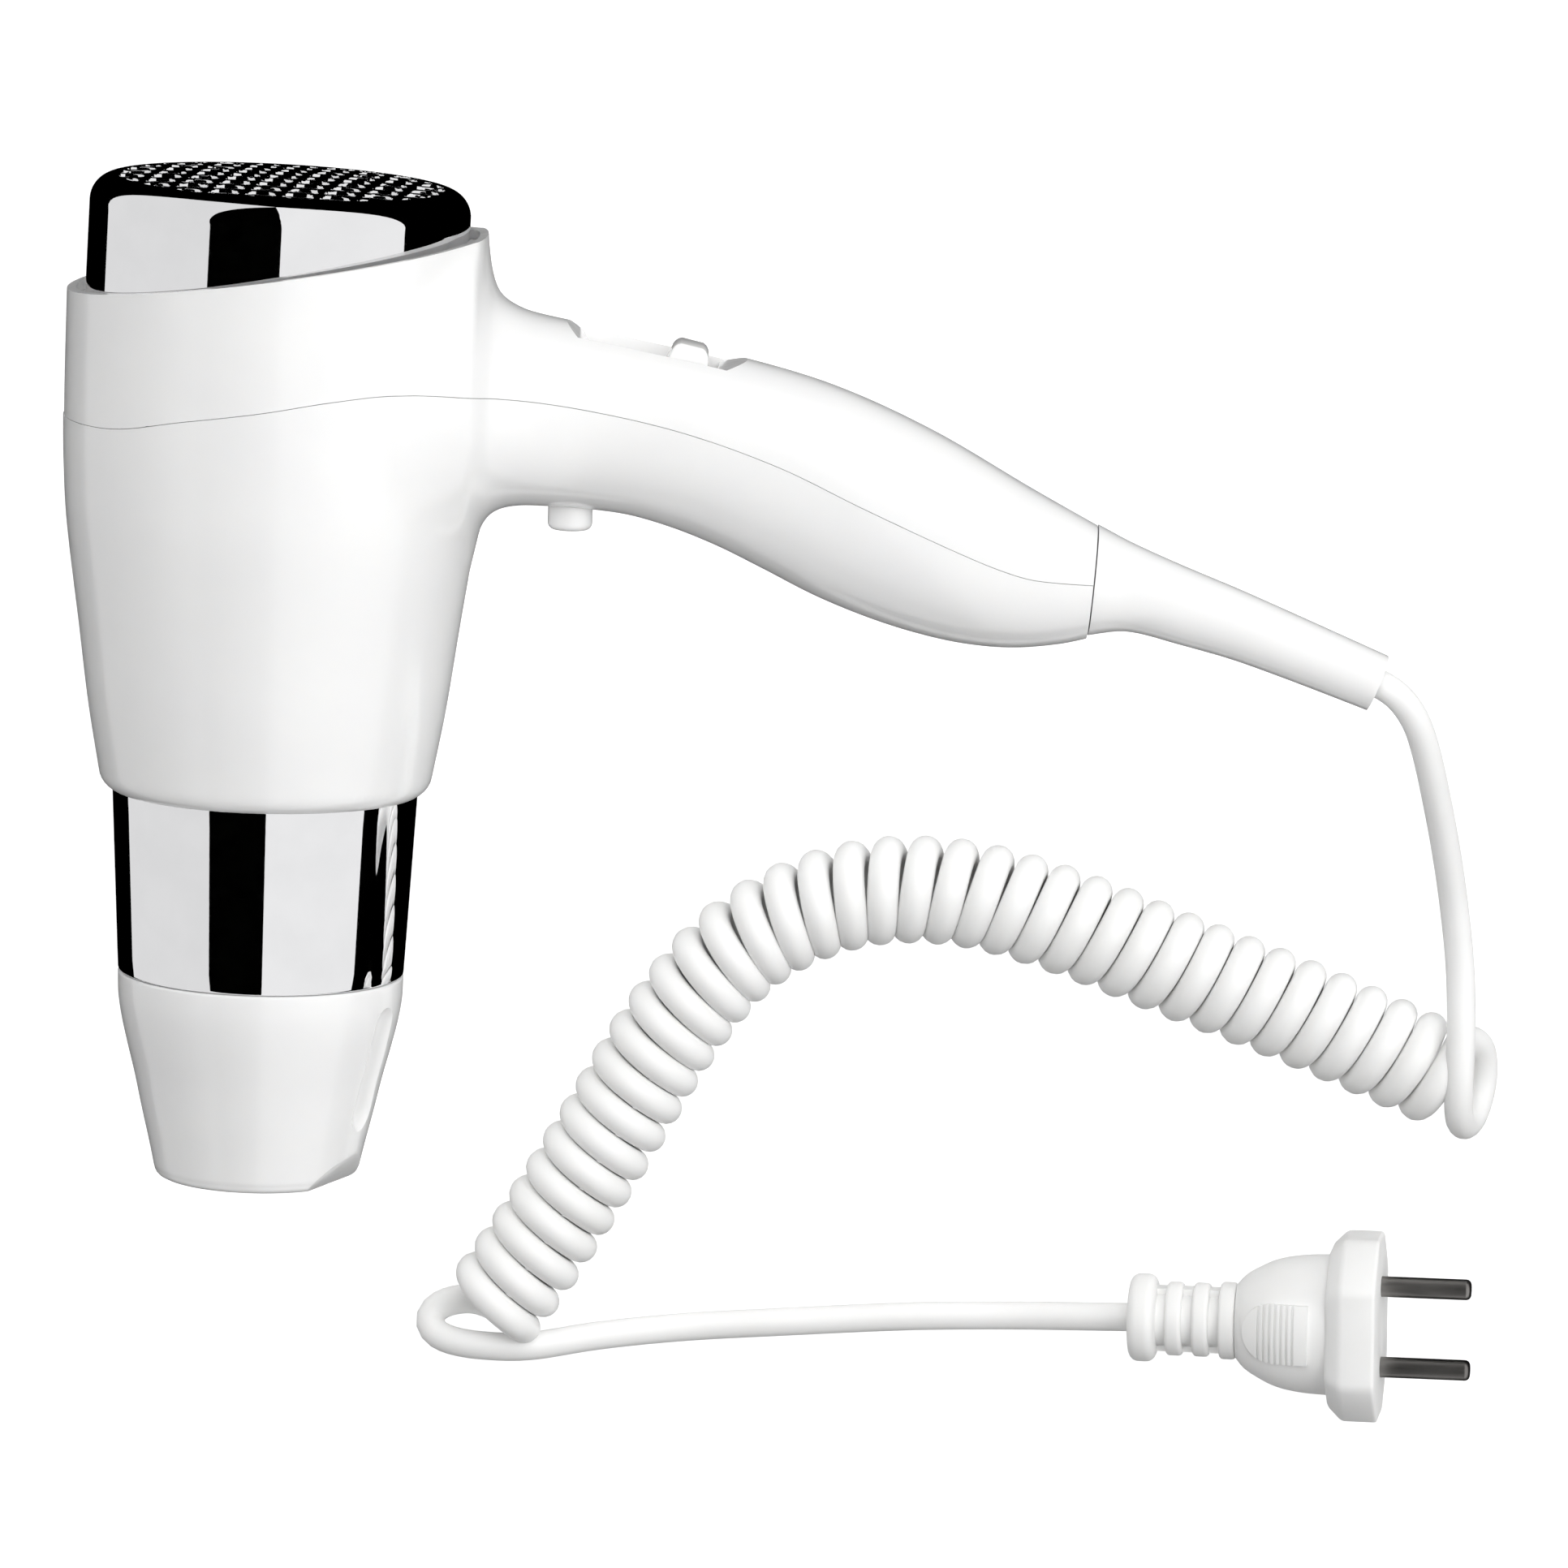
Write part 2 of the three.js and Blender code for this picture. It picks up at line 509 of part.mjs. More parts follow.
// The nozzle plugs into the band and turns in it. Its two facets face each other.
function nozzle() {
  const top = -BAND_LENGTH - GAP;
  const mouth = top - NOZZLE_LENGTH;
  const outer = [[BAND_END_RADIUS, top], [32.1, -47], [31.3, -52], [29.9, -58], [28.1, -65], [26.3, -73],
    [24.4, -81], [NOZZLE_MOUTH_RADIUS + 0.5, mouth + 1.6], [NOZZLE_MOUTH_RADIUS - 1, mouth]];
  const inner = [[NOZZLE_BORE, mouth], [NOZZLE_BORE + 0.8, mouth + 3], [27.6, -50], [29.2, -44]];
  const spigot = [[29.2, -34.5], [30.7, -34.5], [30.7, top]];
  const body = turned([...outer, ...inner, ...spigot]);
  const opposite = [0, Math.PI];
  const facets = opposite.map((turn) =>
    new THREE.BoxGeometry(30, 40, 60)
      .translate(15, 0, 0)
      .rotateZ(-FACET_LEAN)
      .translate(FACET.radius, mouth + FACET.height, 0)
      .rotateY(FACET_AZIMUTH - Math.PI / 2 + turn)
      .translate(0, 0, AXIS_HEIGHT));
  return cut(body, ...facets);
}
piece("nozzle", nozzle(), GLOSS_WHITE);

// ---- Switches in the handle ---------------------------------------------------------------------

const slotGroup = new THREE.Group();
slotGroup.position.set(SLOT_CENTRE.x, SLOT_CENTRE.y, AXIS_HEIGHT);
slotGroup.rotation.z = SLOT_SLOPE;
assembly.add(slotGroup);

function switchPlate() {
  const half = SLOT_HALF_LENGTH - GAP;
  const side = SLOT_WIDTH / 2 - GAP;
  return cut(block([-half, -PLATE_THICKNESS, -side], [half, 0, side]), stemRoom(-5, 5));
}
piece("switch_plate", switchPlate(), SOFT_WHITE, slotGroup);

function knob() {
  const { length, width, height } = KNOB;
  const foot = length / 2;
  const crown = 3;
  const outline = [[-foot, GAP], [foot, GAP], [crown + 0.5, height - 1.4], [crown - 1, height],
    [1 - crown, height], [-crown - 0.5, height - 1.4]];
  const shape = new THREE.Shape(outline.map(([x, y]) => new THREE.Vector2(x, y)));
  const body = new THREE.ExtrudeGeometry(shape, { depth: width, bevelEnabled: false })
    .translate(0, 0, -width / 2);
  const stem = block([-STEM.length / 2, -8, -STEM.width / 2], [STEM.length / 2, 1, STEM.width / 2]);
  return join(body, stem).translate(KNOB_REST, 0, 0);
}
piece("slide_knob", knob(), GLOSS_WHITE, slotGroup);

// Stands below the pocket, with a trough that the knob's stem runs in.
piece("slide_switch_body",
  cut(block([-17, -14, -6], [17, slotFloor - POCKET_WALL - GAP, 6]), stemRoom(-8.6, 0)),
  BLACK_PLASTIC, slotGroup);

function pushButton() {
  const { x, y, radius, proud } = BUTTON;
  const low = y - proud;
  const cap = turned([[0, low], [radius - 1.8, low], [radius - 0.5, low + 0.6], [radius, low + 1.9],
    [radius, y + 4], [radius + 1.4, y + 4.3], [radius + 1.4, y + 5.4], [1.6, y + 5.4], [1.6, y + 9.8],
    [0, y + 9.8]], SMALL_ROUND);
  return cap.translate(x, 0, 0);
}
piece("push_button", pushButton(), GLOSS_WHITE);
// Drawn at its pressed length, on its seat under the microswitch, so that the button never meets it.
piece("button_spring", ring(2.1, 3.4, BUTTON.y + 5.4 + BUTTON.travel + GAP, BUTTON.y + 12, 12)
  .translate(BUTTON.x, 0, 0), STEEL);
piece("micro_switch",
  block([61.4, BUTTON.y + 12.3, AXIS_HEIGHT - 4], [73.4, BUTTON.y + 18.4, AXIS_HEIGHT + 4]),
  BLACK_PLASTIC);

const boardGroup = new THREE.Group();
boardGroup.position.set(136, 72, AXIS_HEIGHT);
boardGroup.rotation.z = THREE.MathUtils.degToRad(-25);
assembly.add(boardGroup);
piece("circuit_board", block([-17, -0.8, -11], [17, 0.8, 11]), BOARD_GREEN, boardGroup);
piece("capacitor", block([-12, 0.8 + GAP, -7], [4, 9.5, 6]), BLACK_PLASTIC, boardGroup);
piece("diode_pair", block([7, 0.8 + GAP, -6], [13, 4.5, 6]), BLACK_PLASTIC, boardGroup);

// ---- Cord sleeve and clamp ----------------------------------------------------------------------

function sleeve() {
  const stations = [SLEEVE_START + GAP, 189, 193, 198, 204, 212, 220, 232, 244, 258];
  const body = oval(stations, SLEEVE_TOP, SLEEVE_BOTTOM, SLEEVE_HALF_WIDTH, 0, 16);
  const end = new THREE.BoxGeometry(60, 80, 80)
    .translate(30, 0, 0)
    .rotateZ(SLEEVE_SLOPE)
    .translate(SLEEVE_END, LEAD_ROUTE[0][1], AXIS_HEIGHT);
  const tongue = oval([176, 180, SLEEVE_START + 2], HANDLE_TOP, HANDLE_BOTTOM, HANDLE_HALF_WIDTH, 4.4, 12);
  return join(cut(body, end), tongue);
}
piece("cord_sleeve", sleeve(), GLOSS_WHITE);
piece("cord_clamp", block([171.4, 52.4, AXIS_HEIGHT - 7.4], [175.4, 58, AXIS_HEIGHT + 7.4]), SOFT_WHITE);

// ---- Curly lead ---------------------------------------------------------------------------------

const along = (slope, distance) => [distance * Math.cos(slope), distance * Math.sin(slope)];

function leadRoute() {
  const [stepX, stepY] = along(SLEEVE_SLOPE, 3 * GAP);
  const [first, ...rest] = LEAD_ROUTE;
  return [[first[0] + stepX, first[1] + stepY, first[2]], ...rest];
}
piece("cord_lead", bar(leadRoute(), CORD_RADIUS, 30), SOFT_WHITE);

piece("cord_curl",
  bar(CURL_ROUTE.map(([x, y]) => [x, y, CURL_RADIUS]), CURL_RADIUS, 26, 12), SOFT_WHITE);

// ---- Plug ---------------------------------------------------------------------------------------

const plug = new THREE.Group();
plug.position.set(...PLUG_REAR);
plug.rotation.set(0, -PLUG_PITCH, PLUG_TURN, "ZYX");
assembly.add(plug);

const ahead = new THREE.Vector3(1, 0, 0).applyEuler(plug.rotation);
const plugPoint = (distance) => plug.position.clone().addScaledVector(ahead, distance).toArray();
piece("cord_tail", bar([...TAIL_ROUTE, plugPoint(-GAP)], CORD_RADIUS, 26), SOFT_WHITE);

// A solid of revolution about the plug's own axis.
function plugTurned(profile, sides = SMALL_ROUND) {
  return turned(profile, sides).translate(0, 0, -AXIS_HEIGHT).rotateZ(-Math.PI / 2);
}
const NECK_END = 24.6;
const ribs = [[8.6, 12.4], [14.8, 18.6], [21, NECK_END]].flatMap(([from, to]) =>
  [[7, from], [8.6, from], [8.6, to], [7, to]]);
piece("plug_strain_relief",
  plugTurned([[0, 0], [8.4, 0], [10.2, 1.6], [10.2, 4.6], [8.4, 6.2], [7, 6.2], ...ribs, [0, NECK_END]]),
  SOFT_WHITE, plug);

function plugBody() {
  const flangeStart = 46;
  const bell = plugTurned([[0, NECK_END + GAP], [8.8, NECK_END + GAP], [12.4, 29], [14.8, 34], [16, 40],
    [16.4, flangeStart + 2], [0, flangeStart + 2]], 20).scale(1, 1, 0.86);
  // Outline across the plug: y is the pins' direction, z is up.
  const outline = [[-21.6, -6], [-21.6, 6], [-15, 12.5], [-9, 17.2], [9, 17.2], [15, 12.5], [21.6, 6],
    [21.6, -6], [15, -12.5], [9, -17.2], [-9, -17.2], [-15, -12.5]];
  const shape = new THREE.Shape(outline.map(([y, z]) => new THREE.Vector2(y, z)).reverse());
  const bevel = 2;
  const flange = new THREE.ExtrudeGeometry(shape, {
    depth: PLUG_LENGTH - flangeStart - 2 * bevel,
    bevelThickness: bevel,
    bevelSize: bevel,
    bevelOffset: -bevel,
    bevelSegments: 1,
  }).rotateY(Math.PI / 2).rotateX(Math.PI / 2).translate(flangeStart + 2, 0, 0);
  return join(bell, flange);
}
piece("plug_body", plugBody(), SOFT_WHITE, plug);

[-1, 1].forEach((side, i) => {
  const start = PLUG_LENGTH + GAP;
  const pin = plugTurned([[0, start], [PIN.radius, start], [PIN.radius, start + PIN.length - 1],
    [PIN.radius - 1, start + PIN.length], [0, start + PIN.length]], 12);
  piece("plug_pin_" + (i + 1), pin.translate(0, (side * PIN.spacing) / 2, 0), PIN_METAL, plug);
});

// ---- The part's frame: origin under the middle of the dryer, lead and plug not counted ----------

const ON_CORD = /^(cord_(lead|curl|tail)|plug_)/;
assembly.updateMatrixWorld(true);
const bounds = new THREE.Box3();
assembly.traverse((mesh) => {
  if (mesh.isMesh && !ON_CORD.test(mesh.name)) bounds.expandByObject(mesh, true);
});
const middle = bounds.getCenter(new THREE.Vector3());
assembly.position.set(-middle.x, -middle.y, -bounds.min.z);

const part = new THREE.Group();
part.add(assembly);
export default part;
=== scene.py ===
"""Looks of a hand-held hair dryer with a curly mains lead and a two-pin plug.

Sizes are in millimetres in the dryer's own layout: the barrel's axis runs along +Y from the nozzle to
the intake, y = 0 is the lower end of the white housing, the handle reaches out along +X and the floor
is z = 0. Place turns them into the frame's metres.
"""

import json
import logging
import math
from collections.abc import Callable, Sequence
from dataclasses import dataclass, field
from enum import Enum

import bmesh
import bpy
import numpy as np
from mathutils import Euler, Matrix, Vector

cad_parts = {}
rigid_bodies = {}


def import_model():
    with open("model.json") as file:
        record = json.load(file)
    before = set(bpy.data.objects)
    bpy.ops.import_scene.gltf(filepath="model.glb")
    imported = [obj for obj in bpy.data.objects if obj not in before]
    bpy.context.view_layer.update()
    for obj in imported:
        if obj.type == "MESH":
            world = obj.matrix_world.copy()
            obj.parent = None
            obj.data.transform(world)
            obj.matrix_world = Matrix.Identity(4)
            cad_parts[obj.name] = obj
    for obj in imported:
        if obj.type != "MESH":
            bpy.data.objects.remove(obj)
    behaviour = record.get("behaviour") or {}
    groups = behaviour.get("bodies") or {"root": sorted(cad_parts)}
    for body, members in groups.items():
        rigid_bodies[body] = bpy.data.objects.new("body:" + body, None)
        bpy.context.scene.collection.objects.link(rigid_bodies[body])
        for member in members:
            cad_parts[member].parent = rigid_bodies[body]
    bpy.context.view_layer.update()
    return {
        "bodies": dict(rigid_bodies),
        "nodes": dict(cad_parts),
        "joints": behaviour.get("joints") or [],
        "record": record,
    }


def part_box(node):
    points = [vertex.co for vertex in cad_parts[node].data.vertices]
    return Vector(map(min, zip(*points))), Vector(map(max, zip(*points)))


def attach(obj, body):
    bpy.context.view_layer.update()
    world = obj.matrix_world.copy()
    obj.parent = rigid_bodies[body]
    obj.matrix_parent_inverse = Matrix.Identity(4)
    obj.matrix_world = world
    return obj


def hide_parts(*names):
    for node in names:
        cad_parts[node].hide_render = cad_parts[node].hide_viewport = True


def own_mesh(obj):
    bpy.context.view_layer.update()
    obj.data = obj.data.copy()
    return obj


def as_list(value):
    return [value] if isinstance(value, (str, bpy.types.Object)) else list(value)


LOG = logging.getLogger("hair_dryer")
MM = 0.001
AXIS = 47.2  # height of the barrel's axis over the floor
BAND_TUCK = 12.0  # how far the chrome band reaches up inside the housing
POCKET_WALL = 1.8  # plastic round the slide switch's pocket
ROUNDNESS = 2.25  # power of the handle's and the sleeve's oval sections
CLEARANCE = 0.3  # gap round a part that sits in an opening
PLUG_FLATNESS = 0.86  # height of the plug's bell to its width
BUTTON = (67.0, 66.9, 5.0)  # the push button's x, its seat's y and its radius

Point = tuple[float, float, float]
Pair = tuple[float, float]
Field = Callable[[np.ndarray, np.ndarray, np.ndarray], np.ndarray]


class Body(Enum):
    """The frame's moving bodies."""

    HANDSET = "handset"
    ROTOR = "rotor"
    NOZZLE = "nozzle"
    KNOB = "slide_knob"
    BUTTON = "push_button"


class Slot(Enum):
    """The record's material slots."""

    GLOSS_WHITE = "gloss_white"
    SATIN_WHITE = "satin_white"
    CORD_WHITE = "cord_white"
    CHROME = "chrome"
    STEEL = "steel"
    PIN_METAL = "pin_metal"
    BLACK_PLASTIC = "black_plastic"
    MICA = "mica"
    HEATER_WIRE = "heater_wire"
    CIRCUIT_BOARD = "circuit_board"
    GAUZE = "gauze"


class Cut(Enum):
    """Ways to combine two solids."""

    SUBTRACT = "DIFFERENCE"
    JOIN = "UNION"
    KEEP_COMMON = "INTERSECT"


# ---- Places and smooth curves ---------------------------------------------------------------------


@dataclass(frozen=True)
class Place:
    """Where the dryer's own layout lies in the frame.

    Attributes:
        shift: what is added to a point, in millimetres.
    """

    shift: np.ndarray

    @classmethod
    def from_band(cls) -> "Place":
        """The place worked out from the chrome band's upper edge inside the housing."""
        low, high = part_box("chrome_band")
        middle = (low + high) / 2 / MM
        return cls(np.array([middle.x, high.y / MM - BAND_TUCK, middle.z - AXIS]))

    def metres(self, points: Sequence[Point] | np.ndarray) -> np.ndarray:
        """Points of the layout as metres in the frame."""
        return (np.asarray(points, float).reshape(-1, 3) + self.shift) * MM


@dataclass(frozen=True)
class Outline:
    """A smooth curve through chosen points, a height for each place along an axis.

    Attributes:
        points: (place, height) pairs in order of place.
    """

    points: tuple[Pair, ...]

    def at(self, place: np.ndarray | float) -> np.ndarray:
        """The curve's height at a place or at many.

        Args:
            place: one place or an array of them; past the ends the end's height holds.

        Returns:
            The heights, in the shape of place.
        """
        xs, ys = (np.array([p[k] for p in self.points], float) for k in (0, 1))
        tangents = np.empty_like(xs)
        tangents[1:-1] = (ys[2:] - ys[:-2]) / (xs[2:] - xs[:-2])
        tangents[0] = (ys[1] - ys[0]) / (xs[1] - xs[0])
        tangents[-1] = (ys[-1] - ys[-2]) / (xs[-1] - xs[-2])
        x = np.clip(np.asarray(place, float), xs[0], xs[-1])
        i = np.clip(np.searchsorted(xs, x, side="right") - 1, 0, len(xs) - 2)
        span = xs[i + 1] - xs[i]
        t = (x - xs[i]) / span
        rise = t * t * (3 - 2 * t)
        bow = tangents[i] * t * (1 - t) ** 2 - tangents[i + 1] * t * t * (1 - t)
        return ys[i] + (ys[i + 1] - ys[i]) * rise + span * bow

    def slope(self, place: np.ndarray | float) -> np.ndarray:
        """The curve's slope at a place or at many."""
        step = 0.05
        return (self.at(np.asarray(place) + step) - self.at(np.asarray(place) - step)) / (2 * step)


def smooth_path(points: np.ndarray, step: float) -> np.ndarray:
    """A smooth line through points, with its own points about step apart.

    Args:
        points: the points to pass through, one a row.
        step: distance between the new points.

    Returns:
        The new points, one a row.
    """
    spans = np.linalg.norm(np.diff(points, axis=0), axis=1) ** 0.5
    knots = np.concatenate([[0], np.cumsum(spans)])
    fine = np.linspace(0, knots[-1], 40 * len(points))
    line = np.stack([Outline(tuple(zip(knots, points[:, k], strict=True))).at(fine) for k in range(3)], 1)
    return evenly(line, step)


def evenly(line: np.ndarray, step: float) -> np.ndarray:
    """The same line with its points step apart, any columns after x, y and z carried along."""
    run = np.concatenate([[0], np.cumsum(np.linalg.norm(np.diff(line[:, :3], axis=0), axis=1))])
    at = np.linspace(0, run[-1], max(2, round(run[-1] / step) + 1))
    return np.stack([np.interp(at, run, line[:, k]) for k in range(line.shape[1])], 1)


# ---- Shapes: points and faces ---------------------------------------------------------------------


@dataclass
class Shape:
    """Points in the dryer's layout, in millimetres, and the faces between them."""

    points: np.ndarray
    faces: list[tuple[int, ...]]

    def with_shape(self, other: "Shape") -> "Shape":
        """This shape and another as one."""
        start = len(self.points)
        moved = [tuple(i + start for i in f) for f in other.faces]
        return Shape(np.vstack([self.points, other.points]), self.faces + moved)

    def turned(self, matrix: Matrix) -> "Shape":
        """The shape moved by a matrix."""
        m = np.array(matrix, float)
        return Shape(self.points @ m[:3, :3].T + m[:3, 3], self.faces)


def skin(rings: Sequence[np.ndarray], closed: bool = False) -> Shape:
    """Faces between rings of equally many points, with the two ends capped unless closed.

    Args:
        rings: the rings, each an array of points.
        closed: joins the last ring to the first in place of the caps.

    Returns:
        The shape.
    """
    n, count = len(rings[0]), len(rings)
    faces = []
    for i in range(count if closed else count - 1):
        a, b = i * n, ((i + 1) % count) * n
        faces += [(a + k, a + (k + 1) % n, b + (k + 1) % n, b + k) for k in range(n)]
    if not closed:
        faces.append(tuple(reversed(range(n))))
        faces.append(tuple((count - 1) * n + k for k in range(n)))
    return Shape(np.vstack(rings), faces)


def lathe(profile: Sequence[Pair], sides: int = 128) -> Shape:
    """A closed ring of (radius, y) pairs turned about the barrel's axis."""
    turn = np.linspace(0, 2 * math.pi, sides, endpoint=False)
    rings = [
        np.stack([r * np.sin(turn), np.full(sides, y), AXIS + r * np.cos(turn)], 1) for r, y in profile
    ]
    return skin(rings, closed=True)


def prism(outline: Sequence[Pair], low: float, high: float) -> Shape:
    """An outline in X and Y made solid between two heights."""
    flat = np.array(outline, float)
    return skin([np.column_stack([flat, np.full(len(flat), z)]) for z in (low, high)])


def block(low: Point, high: Point) -> Shape:
    """A box between its lowest and its highest corner."""
    (x0, y0, z0), (x1, y1, z1) = low, high
    return prism([(x0, y0), (x1, y0), (x1, y1), (x0, y1)], z0, z1)


def post(x: float, z: float, radius: float, low: float, high: float, sides: int = 32) -> Shape:
    """A round bar along Y, z measured from the barrel's axis."""
    turn = np.linspace(0, 2 * math.pi, sides, endpoint=False)
    rings = [
        np.stack([x + radius * np.sin(turn), np.full(sides, y), AXIS + z + radius * np.cos(turn)], 1)
        for y in (low, high)
    ]
    return skin(rings)


def arc(centre: Pair, radius: float, start: float, end: float, count: int = 6) -> list[Pair]:
    """Points on an arc in a profile, angles in degrees from the first axis towards the second."""
    turns = np.radians(np.linspace(start, end, count))
    return [(centre[0] + radius * math.cos(t), centre[1] + radius * math.sin(t)) for t in turns]


def oval_ring(across: float, up: float, power: float, count: int) -> np.ndarray:
    """Points of a superellipse, as (across, up) rows."""
    turn = np.linspace(0, 2 * math.pi, count, endpoint=False)
    c, s = np.cos(turn), np.sin(turn)
    return np.stack(
        [across * np.sign(c) * np.abs(c) ** (2 / power), up * np.sign(s) * np.abs(s) ** (2 / power)], 1
    )


def tube(line: np.ndarray, radius: float | np.ndarray, sides: int = 20) -> Shape:
    """A round tube about a line, its rings carried along without twist.

    Args:
        line: the centre line's points.
        radius: one radius or one for each point.
        sides: points of each ring.

    Returns:
        The closed tube.
    """
    ahead = np.gradient(line, axis=0)
    ahead /= np.linalg.norm(ahead, axis=1)[:, None]
    side = np.cross(ahead[0], (0, 0, 1))
    turn = np.linspace(0, 2 * math.pi, sides, endpoint=False)
    rings = []
    for centre, direction, reach in zip(line, ahead, np.broadcast_to(radius, len(line)), strict=True):
        side = side - direction * (side @ direction)
        side /= np.linalg.norm(side)
        up = np.cross(side, direction)
        rings.append(centre + reach * (np.outer(np.cos(turn), side) + np.outer(np.sin(turn), up)))
    return skin(rings)


# ---- Smooth solids from a distance field ----------------------------------------------------------


def blend_joined(a: np.ndarray, b: np.ndarray, width: float) -> np.ndarray:
    """The union of two fields with a fillet."""
    near = np.maximum(width - np.abs(a - b), 0) / width
    return np.minimum(a, b) - near * near * width / 4


def blend_common(a: np.ndarray, b: np.ndarray, radius: float) -> np.ndarray:
    """What two fields share, with the edge rounded to a radius."""
    out = np.hypot(np.maximum(a + radius, 0), np.maximum(b + radius, 0))
    return np.minimum(np.maximum(a, b) + radius, 0) + out - radius


def onto_surface(points: np.ndarray, shape_field: Field, steps: int = 3) -> np.ndarray:
    """Moves points onto the zero of a field along its gradient."""
    reach = 0.04
    for _ in range(steps):
        value = shape_field(*points.T)
        slopes = []
        for k in range(3):
            ahead = points.copy()
            ahead[:, k] += reach
            slopes.append((shape_field(*ahead.T) - value) / reach)
        gradient = np.stack(slopes, 1)
        size = np.maximum((gradient**2).sum(1), 0.05)
        move = gradient * (value / size)[:, None]
        length = np.linalg.norm(move, axis=1)
        points = points - move * np.minimum(1, 1 / np.maximum(length, 1e-9))[:, None]
    return points


def surface_of(shape_field: Field, grid: Sequence[np.ndarray]) -> Shape:
    """The closed surface where a field is zero, as even quads that lie on it.

    Args:
        shape_field: negative inside the solid, about a distance near its surface.
        grid: sample places along x, y and z; the surface stays inside them.

    Returns:
        The surface, its faces pointing out.
    """
    values = shape_field(*np.meshgrid(*grid, indexing="ij"))
    inside = values < 0
    cells = np.zeros([n - 1 for n in values.shape], int)
    for corner in np.ndindex(2, 2, 2):
        cells += inside[tuple(slice(c, c + n) for c, n in zip(corner, cells.shape, strict=True))]
    mixed = (cells > 0) & (cells < 8)
    number = np.full(cells.shape, -1)
    number[mixed] = np.arange(mixed.sum())
    total, hits, quads = np.zeros((mixed.sum(), 3)), np.zeros(mixed.sum()), []
    for axis in range(3):
        a = np.take(values, range(values.shape[axis] - 1), axis)
        b = np.take(values, range(1, values.shape[axis]), axis)
        crossing = (a < 0) != (b < 0)
        at = np.argwhere(crossing)
        share = a[crossing] / (a[crossing] - b[crossing])
        place = np.stack([grid[k][at[:, k]] for k in range(3)], 1)
        place[:, axis] += share * (grid[axis][at[:, axis] + 1] - grid[axis][at[:, axis]])
        one, two = (axis + 1) % 3, (axis + 2) % 3
        around = []
        for d1, d2 in ((-1, -1), (0, -1), (0, 0), (-1, 0)):
            cell = at.copy()
            cell[:, one] += d1
            cell[:, two] += d2
            index = number[tuple(cell.T)]
            np.add.at(total, index, place)
            np.add.at(hits, index, 1)
            around.append(index)
        ring = np.stack(around, 1)
        leaving = a[crossing] < 0
        quads += [ring[leaving], ring[~leaving][:, ::-1]]
    points = total / hits[:, None]
    faces = np.vstack(quads)
    pairs = np.vstack([faces[:, [k, (k + 1) % 4]] for k in range(4)])
    near = np.bincount(pairs.ravel(), minlength=len(points))[:, None]
    rounds_of_evening_out = 3
    for _ in range(rounds_of_evening_out):
        points = onto_surface(points, shape_field, 1)
        sums = np.zeros_like(points)
        np.add.at(sums, pairs[:, 0], points[pairs[:, 1]])
        np.add.at(sums, pairs[:, 1], points[pairs[:, 0]])
        points = 0.5 * points + 0.5 * sums / near
    points = onto_surface(points, shape_field)
    return Shape(points, [tuple(f) for f in faces.tolist()])


# ---- Blender objects ------------------------------------------------------------------------------


def place_in_scene(name: str, data: bpy.types.ID) -> bpy.types.Object:
    """Makes an object of a mesh, a camera or a lamp and links it to the scene."""
    made = bpy.data.objects.new(name, data)
    bpy.context.scene.collection.objects.link(made)
    return made


def make_object(name: str, shape: Shape, place: Place, tidy: bool = True) -> bpy.types.Object:
    """A mesh object of a shape, at the origin with its place in its mesh.

    Args:
        name: the object's name.
        shape: its points and faces.
        place: where the layout lies in the frame.
        tidy: merges doubled points and turns the faces outwards.

    Returns:
        The object.
    """
    mesh = bpy.data.meshes.new(name)
    mesh.from_pydata(place.metres(shape.points).tolist(), [], shape.faces)
    if tidy:
        bm = bmesh.new()
        bm.from_mesh(mesh)
        bmesh.ops.remove_doubles(bm, verts=bm.verts, dist=1e-6)
        bmesh.ops.recalc_face_normals(bm, faces=bm.faces)
        bm.to_mesh(mesh)
        bm.free()
    return place_in_scene(name, mesh)


def bake_modifiers(piece: bpy.types.Object) -> None:
    """Turns an object's modifiers into its mesh."""
    evaluated = piece.evaluated_get(bpy.context.evaluated_depsgraph_get())
    old, new = piece.data, bpy.data.meshes.new_from_object(evaluated)
    piece.modifiers.clear()
    piece.data = new
    new.name = piece.name
    bpy.data.meshes.remove(old)


def combine(base: bpy.types.Object, tool: bpy.types.Object, how: Cut, keep: bool = False) -> None:
    """Cuts one solid by another or joins them.

    Args:
        base: the object that changes.
        tool: the other object, removed afterwards unless it is kept.
        how: what is done.
        keep: leaves the tool in the scene.
    """
    modifier = base.modifiers.new("combine", "BOOLEAN")
    modifier.operation, modifier.solver, modifier.object = how.value, "MANIFOLD", tool
    bake_modifiers(base)
    if not keep:
        discard(tool)


def discard(piece: bpy.types.Object) -> None:
    """Removes an object and its mesh."""
    mesh = piece.data
    bpy.data.objects.remove(piece)
    bpy.data.meshes.remove(mesh)


def soften(piece: bpy.types.Object, width: float, segments: int = 3, angle: float = 40) -> None:
    """Rounds an object's edges that are sharper than an angle.

    Args:
        piece: the object.
        width: the rounding's width in millimetres.
        segments: faces across the rounding.
        angle: the least angle between two faces, in degrees.
    """
    bevel = piece.modifiers.new("soften", "BEVEL")
    bevel.width, bevel.segments, bevel.limit_method = width * MM, segments, "ANGLE"
    bevel.angle_limit, bevel.harden_normals = math.radians(angle), False
    bake_modifiers(piece)


def merge_close(piece: bpy.types.Object, reach: float) -> None:
    """Merges points nearer than a reach in millimetres, which clears slivers away."""
    bm = bmesh.new()
    bm.from_mesh(piece.data)
    bmesh.ops.remove_doubles(bm, verts=bm.verts, dist=reach * MM)
    bmesh.ops.dissolve_degenerate(bm, edges=bm.edges, dist=1e-7)
    bm.to_mesh(piece.data)
    bm.free()


